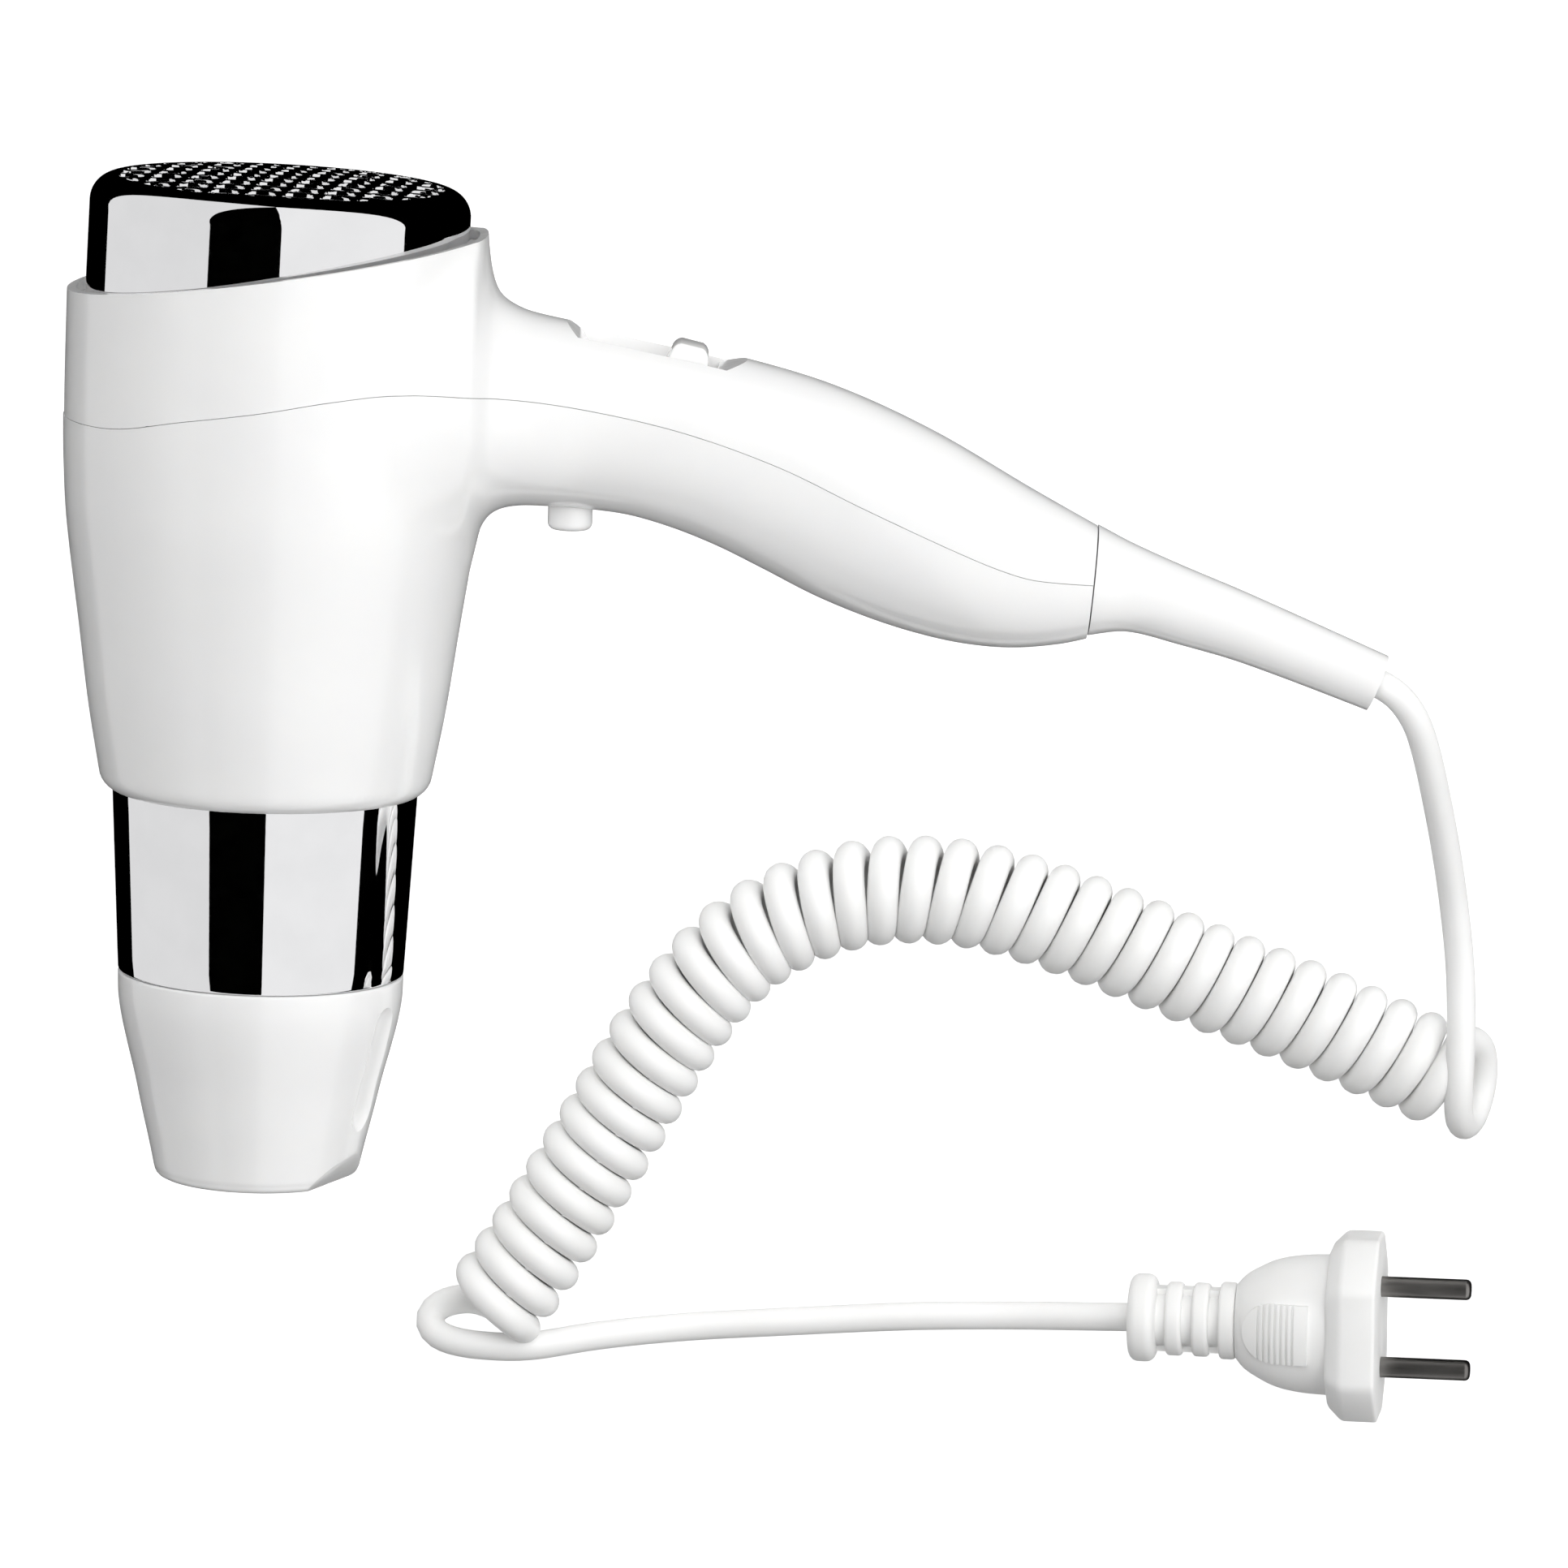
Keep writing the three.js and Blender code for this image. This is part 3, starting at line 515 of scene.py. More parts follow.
def smooth(piece: bpy.types.Object, angle: float = 35) -> None:
    """Shades an object smoothly apart from its sharp edges."""
    piece.data.shade_smooth()
    piece.data.set_sharp_from_angle(angle=math.radians(angle))


# ---- Geometry Nodes -------------------------------------------------------------------------------


def add_node(
    tree: bpy.types.NodeTree, kind: str, settings: dict | None = None, **inputs: object
) -> bpy.types.Node:
    """Adds a node to a tree.

    Args:
        tree: the tree.
        kind: the node's full type.
        settings: the node's own properties.
        inputs: a value or a socket for each input, by its name with _ for a space, or by number as iN.

    Returns:
        The node.
    """
    made = tree.nodes.new(kind)
    for key, value in (settings or {}).items():
        setattr(made, key, value)
    for key, value in inputs.items():
        index = int(key[1:]) if key[0] == "i" and key[1:].isdigit() else key.replace("_", " ")
        if isinstance(value, bpy.types.NodeSocket):
            tree.links.new(value, made.inputs[index])
        else:
            made.inputs[index].default_value = value
    return made


@dataclass
class Tree:
    """A Geometry Nodes tree under construction.

    Attributes:
        name: the tree's name.
    """

    name: str
    group: bpy.types.NodeTree = field(init=False)
    inputs: bpy.types.Node = field(init=False)

    def __post_init__(self) -> None:
        """Makes the empty tree with its input and its geometry output."""
        self.group = bpy.data.node_groups.new(self.name, "GeometryNodeTree")
        self.group.interface.new_socket("Geometry", in_out="OUTPUT", socket_type="NodeSocketGeometry")
        self.inputs = self.group.nodes.new("NodeGroupInput")

    def size(self, name: str, kind: str = "Float") -> bpy.types.NodeSocket:
        """Adds a named input and returns its socket."""
        self.group.interface.new_socket(name, in_out="INPUT", socket_type="NodeSocket" + kind)
        return self.inputs.outputs[name]

    def node(self, kind: str, settings: dict | None = None, **inputs: object) -> bpy.types.Node:
        """Adds a node by its type after "GeometryNode" or by its full type."""
        full = kind if kind.startswith(("ShaderNode", "FunctionNode")) else "GeometryNode" + kind
        return add_node(self.group, full, settings, **inputs)

    def math(self, operation: str, one: object, two: object) -> bpy.types.NodeSocket:
        """Works out a number from two sockets or values."""
        return self.node("ShaderNodeMath", {"operation": operation}, i0=one, i1=two).outputs[0]

    def copies(self, points: bpy.types.Node, piece: bpy.types.NodeSocket, **inputs: object) -> bpy.types.Node:
        """Sets copies of a piece on the points that a node makes."""
        source = self.node("ObjectInfo", {"transform_space": "ORIGINAL"}, Object=piece)
        shape = source.outputs["Geometry"]
        return self.node("InstanceOnPoints", Points=points.outputs[0], Instance=shape, **inputs)

    def wire(
        self, line: bpy.types.Node, radius: bpy.types.NodeSocket, sides: int, capped: bool
    ) -> bpy.types.Node:
        """Makes the curves of a node into round wire."""
        section = self.node("CurvePrimitiveCircle", Resolution=sides, Radius=radius).outputs[0]
        return self.node("CurveToMesh", Curve=line.outputs[0], Profile_Curve=section, Fill_Caps=capped)

    def moved(
        self, shape: bpy.types.Node, by: bpy.types.NodeSocket, turn: Point = (0, 0, 0)
    ) -> bpy.types.NodeSocket:
        """Turns and moves what a node makes."""
        return self.node("Transform", Geometry=shape.outputs[0], Translation=by, Rotation=turn).outputs[0]

    def grow(
        self, name: str, geometry: bpy.types.NodeSocket, material: bpy.types.Material, **sizes: object
    ) -> bpy.types.Object:
        """Ends the tree, runs it and returns the plain mesh that it makes.

        Args:
            name: the new object's name.
            geometry: the socket whose geometry is kept.
            material: the finish that Set Material gives it.
            sizes: a value for each named input.

        Returns:
            The object.
        """
        real = self.node("RealizeInstances", Geometry=geometry)
        dressed = self.node("SetMaterial", Geometry=real.outputs[0], Material=material)
        end = self.group.nodes.new("NodeGroupOutput")
        self.group.links.new(dressed.outputs[0], end.inputs[0])
        made = place_in_scene(name, bpy.data.meshes.new(name))
        modifier = made.modifiers.new(self.name, "NODES")
        modifier.node_group = self.group
        for item in self.group.interface.items_tree:
            if item.in_out == "INPUT":
                modifier[item.identifier] = sizes[item.name.replace(" ", "_")]
        bake_modifiers(made)
        return made


def ring_tree() -> tuple[Tree, bpy.types.NodeSocket]:
    """A tree that sets copies of a piece in a ring about the barrel's axis."""
    tree = Tree("ring_of_copies")
    piece, count = tree.size("Piece", "Object"), tree.size("Count", "Int")
    centre = tree.size("Centre", "Vector")
    points = tree.node("MeshLine", {"mode": "OFFSET"}, Count=count, Offset=(0, 0, 0))
    share = tree.math("DIVIDE", tree.node("InputIndex").outputs[0], count)
    spin = tree.node("ShaderNodeCombineXYZ", Y=tree.math("MULTIPLY", share, 2 * math.pi))
    return tree, tree.moved(tree.copies(points, piece, Rotation=spin.outputs[0]), centre)


def row_tree() -> tuple[Tree, bpy.types.NodeSocket]:
    """A tree that sets copies of a piece in a straight row."""
    tree = Tree("row_of_copies")
    piece, count = tree.size("Piece", "Object"), tree.size("Count", "Int")
    line = tree.node("MeshLine", {"mode": "OFFSET"}, Count=count, Offset=tree.size("Step", "Vector"))
    return tree, tree.copies(line, piece).outputs[0]


def spiral_tree() -> tuple[Tree, bpy.types.NodeSocket]:
    """A tree that winds a round wire into a spiral along the barrel's axis."""
    tree = Tree("wire_spiral")
    turns, radius = tree.size("Turns"), tree.size("Radius")
    height, wire = tree.size("Height"), tree.size("Wire")
    base = tree.size("Base", "Vector")
    spiral = tree.node(
        "CurveSpiral", Resolution=40, Rotations=turns, Start_Radius=radius, End_Radius=radius, Height=height
    )
    return tree, tree.moved(tree.wire(spiral, wire, 10, True), base, (-math.pi / 2, 0, 0))


def gauze_tree() -> tuple[Tree, bpy.types.NodeSocket]:
    """A tree that weaves a round sheet of thin wires across the barrel's axis."""
    tree = Tree("woven_gauze")
    width, count = tree.size("Width"), tree.size("Count", "Int")
    wire, centre = tree.size("Wire"), tree.size("Centre", "Vector")
    grid = tree.node("MeshGrid", Size_X=width, Size_Y=width, Vertices_X=count, Vertices_Y=count)
    position = tree.node("InputPosition").outputs[0]
    reach = tree.node("ShaderNodeVectorMath", {"operation": "LENGTH"}, i0=position).outputs[1]
    radius = tree.math("MULTIPLY", width, 0.5)
    outside = tree.node("FunctionNodeCompare", {"operation": "GREATER_THAN"}, i0=reach, i1=radius).outputs[0]
    disc = tree.node("DeleteGeometry", {"domain": "POINT"}, Geometry=grid.outputs[0], Selection=outside)
    lines = tree.node("MeshToCurve", Mesh=disc.outputs[0])
    return tree, tree.moved(tree.wire(lines, wire, 3, False), centre, (math.pi / 2, 0, 0))


# ---- Finishes -------------------------------------------------------------------------------------


@dataclass
class Nodes:
    """A material's node tree under construction.

    Attributes:
        name: the material's name.
    """

    name: str
    material: bpy.types.Material = field(init=False)
    shader: bpy.types.Node = field(init=False)

    def __post_init__(self) -> None:
        """Makes the material with its one shader."""
        self.material = bpy.data.materials.new(self.name)
        self.material.use_nodes = True
        self.shader = self.material.node_tree.nodes["Principled BSDF"]

    def set(self, **values: object) -> None:
        """Sets the shader's own sockets, by name with _ for a space."""
        for key, value in values.items():
            self.shader.inputs[key.replace("_", " ")].default_value = value

    def add(self, kind: str, settings: dict | None = None, **inputs: object) -> bpy.types.Node:
        """Adds a shader node, its inputs given as values or sockets, by name or as iN."""
        return add_node(self.material.node_tree, "ShaderNode" + kind, settings, **inputs)

    def place(self, scale: Point = (1, 1, 1)) -> bpy.types.NodeSocket:
        """Object coordinates, stretched by a scale."""
        at = self.add("TexCoord")
        return self.add("Mapping", Vector=at.outputs["Object"], Scale=scale).outputs[0]

    def noise(self, scale: float, detail: float = 3, stretch: Point = (1, 1, 1)) -> bpy.types.NodeSocket:
        """A noise pattern, scale features to the metre."""
        where = self.place(stretch)
        return self.add("TexNoise", Vector=where, Scale=scale, Detail=detail).outputs[0]

    def between(self, share: bpy.types.NodeSocket, low: float, high: float) -> bpy.types.NodeSocket:
        """A noise value spread between two numbers."""
        return self.add("MapRange", i0=share, i1=0.3, i2=0.7, i3=low, i4=high).outputs[0]

    def shade(self, share: bpy.types.NodeSocket, one: Point, two: Point) -> bpy.types.NodeSocket:
        """A colour between two, chosen by a pattern."""
        ramp = self.add("ValToRGB", Fac=share)
        ramp.color_ramp.elements[0].position, ramp.color_ramp.elements[1].position = 0.35, 0.65
        ramp.color_ramp.elements[0].color = (*one, 1)
        ramp.color_ramp.elements[1].color = (*two, 1)
        return ramp.outputs[0]

    def wire(self, socket: bpy.types.NodeSocket, name: str) -> None:
        """Links a pattern to one of the shader's sockets."""
        self.material.node_tree.links.new(socket, self.shader.inputs[name])

    def bump(self, height: bpy.types.NodeSocket, strength: float, distance: float) -> None:
        """Gives the surface a relief from a pattern, its depth in metres."""
        made = self.add("Bump", Strength=strength, Distance=distance, Height=height)
        self.wire(made.outputs[0], "Normal")


@dataclass(frozen=True)
class MouldedPlastic:
    """White or dark injection-moulded plastic with a fine orange-peel skin.

    Attributes:
        name: the material's name.
        colour: the usual colour and the colour of its palest patches.
        roughness: the least and the greatest roughness.
        grain: features of the skin's relief to the metre.
        relief: the relief's depth in metres.
        glow: how far light travels inside the plastic, in metres.
        coat: weight of a clear gloss over the skin.
    """

    name: str
    colour: tuple[Point, Point]
    roughness: Pair
    grain: float = 900
    relief: float = 0.00002
    glow: float = 0.0
    coat: float = 0.0

    def build(self) -> bpy.types.Material:
        """Makes the material."""
        nodes = Nodes(self.name)
        nodes.set(IOR=1.49, Coat_Weight=self.coat, Coat_Roughness=0.06)
        if self.glow:
            nodes.set(Subsurface_Weight=0.12, Subsurface_Scale=self.glow, Subsurface_Radius=(1, 0.9, 0.8))
        nodes.wire(nodes.shade(nodes.noise(38), *self.colour), "Base Color")
        nodes.wire(nodes.between(nodes.noise(210, 5), *self.roughness), "Roughness")
        nodes.bump(nodes.noise(self.grain, 2), 0.25, self.relief)
        return nodes.material


@dataclass(frozen=True)
class PolishedMetal:
    """Chrome plate or bare metal, with a slight wave and fine scratches.

    Attributes:
        name: the material's name.
        colour: the colour and its variation.
        roughness: the least and the greatest roughness.
        stretch: how the fine pattern is drawn out along x, y and z.
        grain: features of the fine pattern to the metre.
        relief: depth of the fine pattern in metres.
        wave: depth of the slow wave in metres.
    """

    name: str
    colour: tuple[Point, Point]
    roughness: Pair
    stretch: Point = (1, 1, 1)
    grain: float = 1400
    relief: float = 0.000002
    wave: float = 0.0

    def build(self) -> bpy.types.Material:
        """Makes the material."""
        nodes = Nodes(self.name)
        nodes.set(Metallic=1.0)
        nodes.wire(nodes.shade(nodes.noise(90, 4, self.stretch), *self.colour), "Base Color")
        fine = nodes.noise(self.grain, 3, self.stretch)
        nodes.wire(nodes.between(nodes.noise(260, 5, self.stretch), *self.roughness), "Roughness")
        if self.wave:
            slow = nodes.add("Bump", Strength=0.3, Distance=self.wave, Height=nodes.noise(55, 1))
            both = nodes.add("Bump", Strength=0.2, Distance=self.relief, Height=fine, Normal=slow.outputs[0])
            nodes.wire(both.outputs[0], "Normal")
        else:
            nodes.bump(fine, 0.4, self.relief)
        return nodes.material


@dataclass
class Finishes:
    """Every finish of the dryer, by the record's slot."""

    made: dict[Slot, bpy.types.Material] = field(default_factory=dict)

    def __post_init__(self) -> None:
        """Builds one material for each slot."""
        white = ((0.86, 0.86, 0.86), (0.88, 0.88, 0.875))
        warm = ((0.83, 0.83, 0.82), (0.86, 0.86, 0.855))
        recipes = {
            Slot.GLOSS_WHITE: MouldedPlastic("gloss_white_abs", white, (0.16, 0.24), glow=0.001, coat=0.3),
            Slot.SATIN_WHITE: MouldedPlastic(
                "satin_white_plastic", warm, (0.38, 0.5), 1500, 0.00004, glow=0.001
            ),
            Slot.CORD_WHITE: MouldedPlastic("cord_white_pvc", warm, (0.34, 0.44), 700, 0.00003, glow=0.0015),
            Slot.BLACK_PLASTIC: MouldedPlastic(
                "black_plastic", ((0.012, 0.012, 0.013), (0.02, 0.02, 0.021)), (0.35, 0.5)
            ),
            Slot.MICA: MouldedPlastic(
                "mica_sheet", ((0.36, 0.3, 0.2), (0.5, 0.44, 0.32)), (0.3, 0.6), 500, 0.0001
            ),
            Slot.CIRCUIT_BOARD: MouldedPlastic(
                "circuit_board_green", ((0.02, 0.1, 0.04), (0.03, 0.14, 0.06)), (0.3, 0.45)
            ),
            Slot.CHROME: PolishedMetal(
                "chrome_plate", ((0.9, 0.9, 0.91), (0.93, 0.93, 0.94)), (0.015, 0.035), wave=0.00002
            ),
            Slot.STEEL: PolishedMetal("zinc_steel", ((0.5, 0.5, 0.51), (0.6, 0.6, 0.61)), (0.22, 0.36)),
            Slot.PIN_METAL: PolishedMetal(
                "nickel_pin",
                ((0.2, 0.19, 0.18), (0.34, 0.33, 0.32)),
                (0.25, 0.45),
                stretch=(0.12, 1, 1),
                grain=2600,
                relief=0.00002,
            ),
            Slot.HEATER_WIRE: PolishedMetal(
                "heater_wire", ((0.3, 0.27, 0.23), (0.42, 0.38, 0.33)), (0.35, 0.55)
            ),
            Slot.GAUZE: PolishedMetal("steel_gauze", ((0.3, 0.3, 0.31), (0.4, 0.4, 0.41)), (0.35, 0.5)),
        }
        self.made = {slot: recipe.build() for slot, recipe in recipes.items()}

    def dress(self, piece: bpy.types.Object, slot: Slot) -> None:
        """Gives a piece one finish all over."""
        piece.data.materials.clear()
        piece.data.materials.append(self.made[slot])


@dataclass
class Bench:
    """What every sub-assembly needs: the frame's parts, the place and the finishes."""

    frame: dict
    place: Place
    finishes: Finishes

    def hand_over(
        self, piece: bpy.types.Object, body: Body, slot: Slot, replaces: Sequence[str] = ()
    ) -> bpy.types.Object:
        """Finishes a piece: its material, its body, its slot and the CAD nodes that it stands for.

        Args:
            piece: the object, in place.
            body: the body it moves with.
            slot: its finish.
            replaces: the CAD nodes that it replaces.

        Returns:
            The piece.
        """
        self.finishes.dress(piece, slot)
        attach(piece, body.value)
        if replaces:
            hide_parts(*replaces)
        LOG.info("%s: %d faces, on %s", piece.name, len(piece.data.polygons), body.value)
        return piece

    def build(
        self, name: str, shape: Shape, body: Body, slot: Slot, replaces: Sequence[str] = (), bevel: float = 0
    ) -> bpy.types.Object:
        """Makes a piece from a shape, with its edges rounded, and hands it over."""
        piece = make_object(name, shape, self.place)
        if bevel:
            soften(piece, bevel)
        smooth(piece)
        return self.hand_over(piece, body, slot, replaces)

    def grow(
        self, name: str, planned: tuple[Tree, bpy.types.NodeSocket], body: Body, slot: Slot,
        replaces: Sequence[str] = (), angle: float = 0, **sizes: object
    ) -> bpy.types.Object:
        """Runs a tree, shades its mesh smoothly if an angle is given, and hands it over."""
        tree, end = planned
        piece = tree.grow(name, end, self.finishes.made[slot], **sizes)
        if angle:
            smooth(piece, angle)
        return self.hand_over(piece, body, slot, replaces)

    def carve(self, piece: bpy.types.Object, shape: Shape, how: Cut = Cut.SUBTRACT) -> None:
        """Cuts a piece by a shape of the layout, or joins them."""
        combine(piece, make_object("cutter", shape, self.place), how)

    def vector(self, x: float, y: float, z: float) -> Vector:
        """A point of the layout in the frame's metres."""
        return Vector(self.place.metres([(x, y, z)])[0])


# ---- Studio ---------------------------------------------------------------------------------------


@dataclass
class Studio:
    """Camera, floor and soft light."""

    bench: Bench
    distance: float = 2200.0
    tilt: float = 9.5
    roll: float = 1.9
    lens: float = 219.0
    target: Point = (117.0, -2.6, 0.0)

    def camera(self) -> None:
        """Sets the camera above the dryer, tilted from the vertical towards the intake."""
        tilt, roll = math.radians(self.tilt), math.radians(self.roll)
        view = Vector((0, -math.sin(tilt), -math.cos(tilt)))
        up = Vector((0, math.cos(tilt), -math.sin(tilt)))
        right = view.cross(up)
        across = right * math.cos(roll) + up * math.sin(roll)
        over = up * math.cos(roll) - right * math.sin(roll)
        data = bpy.data.cameras.new("studio_camera")
        data.lens, data.sensor_width, data.clip_end = self.lens, 36, 50
        camera = place_in_scene("studio_camera", data)
        place = self.bench.vector(*self.target) - view * self.distance * MM
        turn = Matrix((across, over, -view)).transposed()
        camera.matrix_world = Matrix.Translation(place) @ turn.to_4x4()
        bpy.context.scene.camera = camera

    def floor(self) -> None:
        """Lays the pale floor."""
        mesh = bpy.data.meshes.new("studio_floor")
        bm = bmesh.new()
        bmesh.ops.create_grid(bm, x_segments=8, y_segments=8, size=6)
        bm.to_mesh(mesh)
        bm.free()
        floor = place_in_scene("studio_floor", mesh)
        floor.visible_glossy = False
        nodes = Nodes("pale_floor")
        nodes.set(Roughness=0.9, Emission_Color=(1, 1, 1, 1), Emission_Strength=0.9)
        nodes.wire(nodes.shade(nodes.noise(3), (0.3, 0.3, 0.3), (0.32, 0.32, 0.32)), "Base Color")
        mesh.materials.append(nodes.material)

    def world(self) -> None:
        """Surrounds the dryer with dark studio walls and two broad white screens along the barrel."""
        world = bpy.data.worlds.new("studio_world")
        bpy.context.scene.world = world
        world.use_nodes = True
        tree = world.node_tree
        parts = add_node(
            tree, "ShaderNodeSeparateXYZ", i0=add_node(tree, "ShaderNodeTexCoord").outputs["Generated"]
        )
        angle = add_node(
            tree, "ShaderNodeMath", {"operation": "ARCTAN2"}, i0=parts.outputs["X"], i1=parts.outputs["Z"]
        )
        share = add_node(tree, "ShaderNodeMapRange", i0=angle.outputs[0], i1=-math.pi, i2=math.pi)
        ramp = add_node(tree, "ShaderNodeValToRGB", i0=share.outputs[0])
        ramp.color_ramp.interpolation = "CONSTANT"
        screens = ((0, 0.0), (-124, 0.76), (-40, 0.0), (3, 0.88), (84, 0.0))
        for degrees, light in screens:
            at = (degrees + 180) / 360 if degrees else 0.0
            stop = ramp.color_ramp.elements[0] if at == 0.0 else ramp.color_ramp.elements.new(at)
            stop.position, stop.color = at, (light, light, light, 1)
        ramp.color_ramp.elements.remove(ramp.color_ramp.elements[-1])
        path = add_node(tree, "ShaderNodeLightPath")
        mix = add_node(
            tree, "ShaderNodeMix", {"data_type": "RGBA"}, Factor=path.outputs["Is Glossy Ray"],
            i6=(1, 1, 1, 1), i7=ramp.outputs[0],
        )
        tree.links.new(mix.outputs[2], tree.nodes["Background"].inputs["Color"])
        world.cycles_visibility.diffuse = False

    def lamp(self, name: str, place: Point, size: float, power: float) -> None:
        """Hangs one square soft lamp that looks at the dryer.

        Args:
            name: the lamp's name.
            place: where it hangs, in metres.
            size: its side in metres.
            power: its power in watts.
        """
        data = bpy.data.lights.new(name, "AREA")
        data.shape, data.size, data.energy = "SQUARE", size, power
        lamp = place_in_scene(name, data)
        lamp.location = place
        lamp.rotation_euler = (-Vector(place)).to_track_quat("-Z", "Y").to_euler()
        lamp.visible_glossy = False

    def build(self) -> None:
        """Sets up the whole studio."""
        self.camera()
        self.floor()
        self.world()
        self.lamp("overhead_lamp", (0.1, 0.9, 1.9), 2.0, 40)
        self.lamp("right_lamp", (1.5, 0.1, 1.3), 1.4, 21)
        self.lamp("left_lamp", (-1.4, 0.0, 1.4), 1.2, 5)
        bpy.context.scene.view_settings.view_transform = "Standard"


# ---- Curly lead -----------------------------------------------------------------------------------


@dataclass
class CurlyLead:
    """The mains lead: one cord from the sleeve, through the curl, to the plug."""

    bench: Bench
    radius: float = 3.3
    turn_radius: float = 3.66
    curl_radius: float = 12.8
    pitch: float = 7.45
    lead: tuple[Point, ...] = (
        (249.7, 32.9, 47.2), (254.4, 30.2, 46.9), (258.8, 24.4, 45.2), (261.8, 16.6, 41.6),
        (264.9, 5.4, 36), (268.1, -7.6, 29), (271.1, -22.4, 22.8), (273.3, -37.6, 20.6),
        (274, -52.4, 22.4), (274, -64, 23.2), (274.6, -72, 19.6), (277, -75, 12),
        (279.8, -71.6, 5), (281, -63.6, 3.6), (279.4, -57, 7), (276.2, -55, 11.4),
    )
    curl: tuple[Pair, ...] = (
        (271.5, -63.4), (238, -50), (210, -40), (182, -30), (160, -24.6), (140, -24.6), (122, -30),
        (107, -40), (93, -58), (78, -85), (64, -109.4), (52.8, -126.5),
    )
    tail: tuple[Point, ...] = (
        (49, -125.4, 3.4), (44.5, -126, 3.5), (40.2, -127.6, 3.9), (38.4, -130.6, 5.4),
        (40.4, -133.4, 7.6), (45, -134.5, 9.8), (51, -134.8, 11.8), (62, -134.4, 13), (78, -132.2, 9),
        (98, -130.6, 4), (122, -128.6, 3.5), (150, -126.4, 3.5), (174, -125.1, 4.8), (190, -124, 8.2),
    )

    def helix(self) -> np.ndarray:
        """The curl's turns: a left-handed helix about the curl's own line."""
        middle = smooth_path(np.array([(x, y, self.curl_radius) for x, y in self.curl]), 0.5)
        run = np.concatenate([[0], np.cumsum(np.linalg.norm(np.diff(middle, axis=0), axis=1))])
        turns = round(run[-1] / self.pitch)
        start, end = 0.75, 0.5
        share = np.linspace(0, 1, 30 * turns)
        at = share * run[-1]
        centre = np.stack([np.interp(at, run, middle[:, k]) for k in range(3)], 1)
        ahead = np.gradient(centre, axis=0)
        ahead /= np.linalg.norm(ahead, axis=1)[:, None]
        side = np.cross(ahead, (0, 0, 1))
        turn = 2 * math.pi * (start + share * (turns - start + end))
        reach = self.curl_radius - self.turn_radius - 0.05
        return centre + reach * (np.cos(turn)[:, None] * np.array((0, 0, 1)) - np.sin(turn)[:, None] * side)

    def line(self, plug_rear: Sequence[float]) -> tuple[np.ndarray, np.ndarray]:
        """The cord's whole centre line, and its radius at each point."""
        inside = (243.2, 35.6, AXIS)
        first = smooth_path(np.array([inside, *self.lead]), 1)
        last = smooth_path(np.array([*self.tail, plug_rear]), 1)
        helix = self.helix()
        thick = [np.full(len(part), r) for part, r in
                 ((first, self.radius), (helix, self.turn_radius), (last, self.radius))]
        both = np.column_stack([np.vstack([first, helix, last]), np.concatenate(thick)])
        line, kernel = evenly(both, 1.0), np.ones(5) / 5
        for _ in range(2):
            middle = np.stack([np.convolve(line[:, k], kernel, "valid") for k in range(4)], 1)
            line = np.vstack([line[:2], middle, line[-2:]])
        line = evenly(line, 1.8)
        near = np.convolve(np.pad(line[:, 3], 10, "edge"), np.ones(21) / 21, "valid")
        return line[:, :3], near

    def build(self, plug_rear: Sequence[float], plug_pieces: Sequence[bpy.types.Object]) -> None:
        """Args:
            plug_rear: where the cord ends inside the plug.
            plug_pieces: the pieces on its end; not used.
        """
        line, thick = self.line(plug_rear)
        cord = self.bench.build(
            "curly_lead", tube(line, thick), Body.HANDSET, Slot.CORD_WHITE,
            ("cord_lead", "cord_curl", "cord_tail"),
        )
        tuple(self.bench.vector(*self.lead[0]))
        self.bench.place.metres(line)
        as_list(plug_pieces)


# ---- Housing --------------------------------------------------------------------------------------


